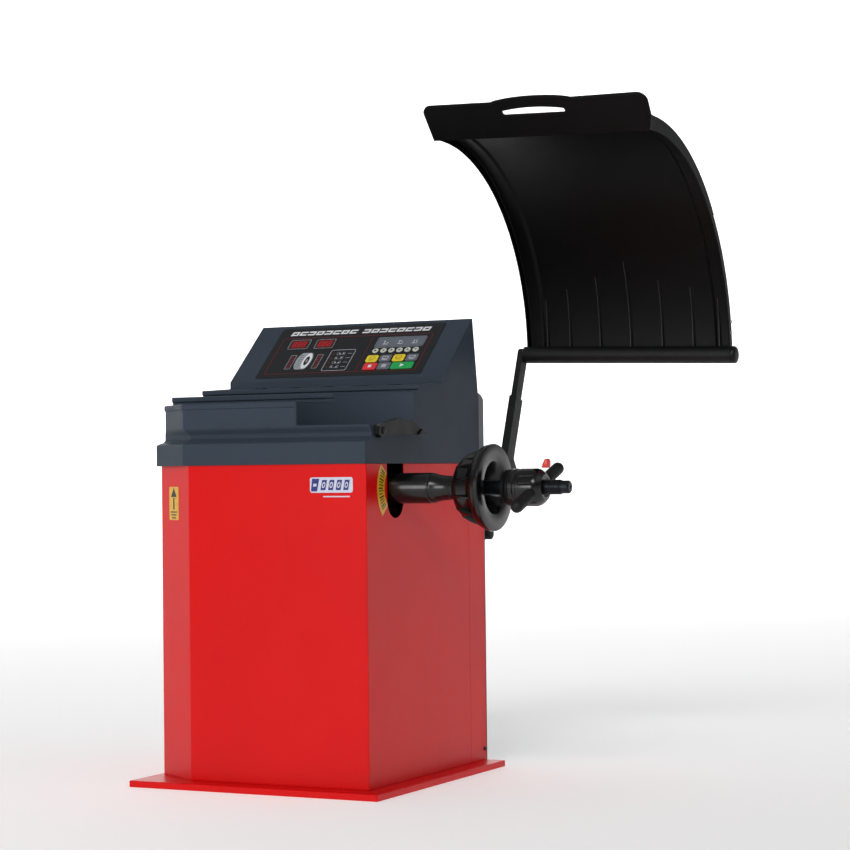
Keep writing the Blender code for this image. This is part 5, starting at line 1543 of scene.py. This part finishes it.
def make_lip_rim():
    """Rolled rim round the lip's free edge and round its hand slot."""
    bm = bmesh.new()
    rim, middle = 0.0030, 0.0018
    inward = 0.0030
    outline = [Vector(p) for p in lip_outline(8)]
    centre = sum(outline, Vector((0.0, 0.0))) / len(outline)
    path = []
    for i in range(1, len(outline) - 1):
        tangent = (outline[i + 1] - outline[i - 1]).normalized()
        inside = Vector((tangent.y, -tangent.x))
        if inside.dot(centre - outline[i]) < 0 and abs(inside.y) > 0.5:
            inside = -inside
        path.append(outline[i] + inside * inward)
    place_of = lip_place()
    rings = []
    for i, point in enumerate(path):
        before, after = path[max(0, i - 1)], path[min(len(path) - 1, i + 1)]
        tangent = (after - before).normalized()
        side = Vector((tangent.y, -tangent.x))
        rings.append([place_of @ Vector((*(point + side * (rim * math.cos(t))), middle + rim * math.sin(t)))
                      for t in (2 * math.pi * k / 12 for k in range(12))])
    skin(bm, rings)
    loop = [Vector(p) for p in slot_outline(0.0024)]
    rings = []
    for i, point in enumerate(loop):
        tangent = (loop[(i + 1) % len(loop)] - loop[i - 1]).normalized()
        side = Vector((tangent.y, -tangent.x))
        rings.append([place_of @ Vector((*(point + side * (0.0024 * math.cos(t))),
                                         middle + 0.0028 * math.sin(t)))
                      for t in (2 * math.pi * k / 10 for k in range(10))])
    skin(bm, rings, closed=True)
    place("hood_lip_rim", drooped(bm), "hood", "wheel_guard", 60)


# rib's place along the rail, and the height of its top
GUARD_RIBS = ((0.405, 1.26), (0.472, 1.29), (0.561, 1.32), (0.650, 1.36), (0.741, 1.31), (0.829, 1.29),
              (0.905, 1.26))


def make_guard_ribs():
    """Tapered ribs that rise from the rail on the inside of the shell."""
    bm = bmesh.new()
    rise = 0.006
    for x, top in GUARD_RIBS:
        raised_middle = GUARD_LEFT + 0.048 < x < GUARD_RIGHT - 0.048
        wall = GUARD_SKIN_R - GUARD_WALL + (rise if raised_middle else 0.0) + 0.0004
        first = math.asin((1.122 - RAIL_Z) / wall)
        last = math.asin((top - RAIL_Z) / wall)
        count = 26
        rings = []
        for k in range(count + 1):
            share = k / count
            turn = first + (last - first) * share
            height = 0.0100 * (1 - share) ** 0.8 + 0.0012
            half = 0.0030 * (1 - 0.5 * share)
            ring = []
            for across, depth in ((-1.0, 0.0), (-0.72, 0.82), (-0.30, 1.0), (0.30, 1.0), (0.72, 0.82),
                                  (1.0, 0.0)):
                ring.append((x + half * across, *on_arc(wall - height * depth, turn)))
            rings.append(ring)
        skin(bm, rings)
    # the ribs take the lighter copy of the hood's finish, a painted highlight on their edges
    place("hood_ribs", drooped(bm), "hood_rib_painted_highlight", "wheel_guard", 50)


def make_rail():
    """Guard rail, its moulded end cap and the screws that hold the shell on it."""
    r, end = RAIL_R, RAIL_HIGH.x
    rail = turned([(RAIL_START, 0.0), (RAIL_START, r - 0.0012), (RAIL_START + 0.0012, r), (end - 0.0008, r),
                   (end, r - 0.0008), (end, r - 0.0040), (RAIL_START + 0.004, r - 0.0040),
                   (RAIL_START + 0.004, 0.0)],
                  80, (RAIL_Y, RAIL_Z))
    place("guard_tube", drooped(rail), "powder_black", "wheel_guard", 28, ["guard_rail"])
    low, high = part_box("rail_end_cap")
    cap_end = high.x
    cap = turned([(low.x, 0.0), (low.x, r - 0.0006), (low.x + 0.0006, r), (cap_end - 0.0070, r),
                  (cap_end - 0.0044, r - 0.0010), (cap_end - 0.0022, r - 0.0036),
                  (cap_end - 0.0008, r - 0.0072),
                  (cap_end, r - 0.0120), (cap_end, 0.0)], 80, (RAIL_Y, RAIL_Z))
    place("guard_tube_cap", drooped(cap), "black_plastic", "wheel_guard", 28, ["rail_end_cap"])
    bolts = bmesh.new()
    for z in (1.168, 1.198):
        add_pan_screw(bolts, (GUARD_RIGHT + 0.0001, RAIL_Y + 0.0090, z), (1, 0, 0), 0.0046)
    place("hood_screws", drooped(bolts), "zinc", "wheel_guard", 30)


def dress_guard():
    dress("guard_arm", "powder_black", 0.0016)
    dress("guard_arm_tube", "powder_black", 0.0016)
    dress("guard_bracket", "powder_black", 0.0010)
    dress("guard_stop", "rubber", 0.0015)
    dress("guard_spring", "steel")
    NODES["guard_spring"].data.shade_smooth()
    dress("guard_pivot_shaft", "steel", 0.0008)


# ---- stage ------------------------------------------------------------------------------------
def stage_finish():
    """Pale floor and grey walls, with a bright backdrop on the side that the camera looks at."""
    made = bpy.data.materials.new("studio_floor")
    made.use_nodes = True
    tree = made.node_tree
    shader = tree.nodes["Principled BSDF"]
    shader.inputs["Roughness"].default_value = 0.9
    shader.inputs["Specular IOR Level"].default_value = 0.1
    place_of = tree.nodes.new("ShaderNodeTexCoord").outputs["Object"]

    def reach(direction, start, stop):
        """0 to 1 over a stretch along a direction."""
        dot = tree.nodes.new("ShaderNodeVectorMath")
        dot.operation = "DOT_PRODUCT"
        dot.inputs[1].default_value = direction
        tree.links.new(place_of, dot.inputs[0])
        span = tree.nodes.new("ShaderNodeMapRange")
        span.interpolation_type = "SMOOTHSTEP"
        span.inputs["From Min"].default_value = start
        span.inputs["From Max"].default_value = stop
        tree.links.new(dot.outputs["Value"], span.inputs["Value"])
        return span.outputs["Result"]

    def blend(share, first, second):
        ramp = tree.nodes.new("ShaderNodeMix")
        ramp.data_type = "RGBA"
        tree.links.new(share, ramp.inputs["Factor"])
        for socket, tone in (("A", first), ("B", second)):
            target = next(s for s in ramp.inputs if s.name == socket and s.type == "RGBA")
            if isinstance(tone, tuple):
                target.default_value = (*tone, 1.0)
            else:
                tree.links.new(tone, target)
        return next(s for s in ramp.outputs if s.type == "RGBA")
    backdrop = reach((math.cos(BACKDROP_AT), math.sin(BACKDROP_AT), 0.0), 7.5, 11.0)
    height = reach((0.0, 0.0, 1.0), 0.0, 3.0)
    walls = blend(height, (0.86, 0.86, 0.86), (0.26, 0.26, 0.27))
    tree.links.new(blend(backdrop, walls, (0.90, 0.90, 0.90)), shader.inputs["Base Color"])
    glow = blend(height, (0.30, 0.30, 0.30), (0.03, 0.03, 0.03))
    tree.links.new(blend(backdrop, glow, (0.45, 0.45, 0.45)), shader.inputs["Emission Color"])
    shader.inputs["Emission Strength"].default_value = 1.0
    return made


BACKDROP_AT = math.radians(140)     # middle of the bright backdrop, from +X


def make_stage():
    """Pale floor that curves up far from the object."""
    bm = bmesh.new()
    flat, rise, top = 9.0, 5.0, 8.0
    profile = [(0.02, 0.0), (3.0, 0.0), (flat, 0.0)]
    for k in range(1, 17):
        turn = math.pi / 2 * k / 16
        profile.append((flat + rise * math.sin(turn), rise * (1 - math.cos(turn))))
    profile.append((flat + rise, top))
    segments = 128
    rings = []
    for radius, height in profile:
        rings.append([bm.verts.new((radius * math.cos(t), radius * math.sin(t), height)) for t in
                      (2 * math.pi * k / segments for k in range(segments))])
    for low, high in zip(rings, rings[1:]):
        for i in range(segments):
            j = (i + 1) % segments
            bm.faces.new((low[i], low[j], high[j], high[i]))
    bm.faces.new(rings[0])
    mesh = bpy.data.meshes.new("studio_floor")
    bm.to_mesh(mesh)
    bm.free()
    mesh.shade_smooth()
    floor = bpy.data.objects.new("studio_floor", mesh)
    bpy.context.scene.collection.objects.link(floor)
    floor.data.materials.append(stage_finish())


def area_light(name, place_at, target, size, power):
    data = bpy.data.lights.new(name, "AREA")
    data.shape = "RECTANGLE"
    data.size, data.size_y = size
    data.energy = power
    lamp = bpy.data.objects.new(name, data)
    bpy.context.scene.collection.objects.link(lamp)
    lamp.location = place_at
    lamp.rotation_euler = (Vector(target) - Vector(place_at)).to_track_quat("-Z", "Y").to_euler()
    return lamp


def sun_light(name, direction, spread, strength):
    data = bpy.data.lights.new(name, "SUN")
    data.angle = math.radians(spread)
    data.energy = strength
    lamp = bpy.data.objects.new(name, data)
    bpy.context.scene.collection.objects.link(lamp)
    lamp.rotation_euler = (-Vector(direction)).to_track_quat("-Z", "Y").to_euler()
    return lamp


def make_lights():
    sun_light("key", (0.22, -0.86, 0.46), 34, 2.5)
    sun_light("side", (0.90, -0.10, 0.45), 60, 0.40)
    area_light("front_box", (-0.4, -4.6, 1.4), (0.1, -0.1, 0.9), (1.3, 1.7), 45)
    world = bpy.data.worlds.new("studio")
    bpy.context.scene.world = world
    world.use_nodes = True
    background = world.node_tree.nodes["Background"]
    background.inputs["Color"].default_value = (1.0, 1.0, 1.0, 1.0)
    background.inputs["Strength"].default_value = 0.26
    bpy.context.scene.view_settings.view_transform = "Standard"


CAMERA_AT = Vector((2.97634, -5.30041, 0.78766))
CAMERA_YAW, CAMERA_PITCH, CAMERA_ROLL = (math.radians(a) for a in (26.7, 1.18, -0.64))
CAMERA_LENS = 98.43


def make_camera():
    forward = Vector((-math.sin(CAMERA_YAW) * math.cos(CAMERA_PITCH),
                      math.cos(CAMERA_YAW) * math.cos(CAMERA_PITCH),
                      math.sin(CAMERA_PITCH)))
    right = forward.cross(Vector((0, 0, 1))).normalized()
    up = right.cross(forward)
    across = right * math.cos(CAMERA_ROLL) + up * math.sin(CAMERA_ROLL)
    above = up * math.cos(CAMERA_ROLL) - right * math.sin(CAMERA_ROLL)
    data = bpy.data.cameras.new("camera")
    data.lens = CAMERA_LENS
    data.sensor_width = 36.0
    data.clip_end = 60.0
    camera = bpy.data.objects.new("camera", data)
    bpy.context.scene.collection.objects.link(camera)
    camera.matrix_world = Matrix.Translation(CAMERA_AT) @ Matrix((across, above,
                                                                  -forward)).transposed().to_4x4()
    bpy.context.scene.camera = camera


# ---- build ------------------------------------------------------------------------------------
make_camera()
make_stage()
make_lights()
make_front_panel()
dress_cabinet()
make_screws()
make_top_cover()
make_recess_rim()
dress_panel()
make_badge()
make_chamfer_label()
make_slot_label()
make_shaft()
make_hub()
make_housing()
dress_drive()
make_cup()
make_nut_body()
make_grips()
make_lever()
make_gauge()
make_guard_shell()
make_lip_rim()
make_guard_ribs()
make_rail()
dress_guard()
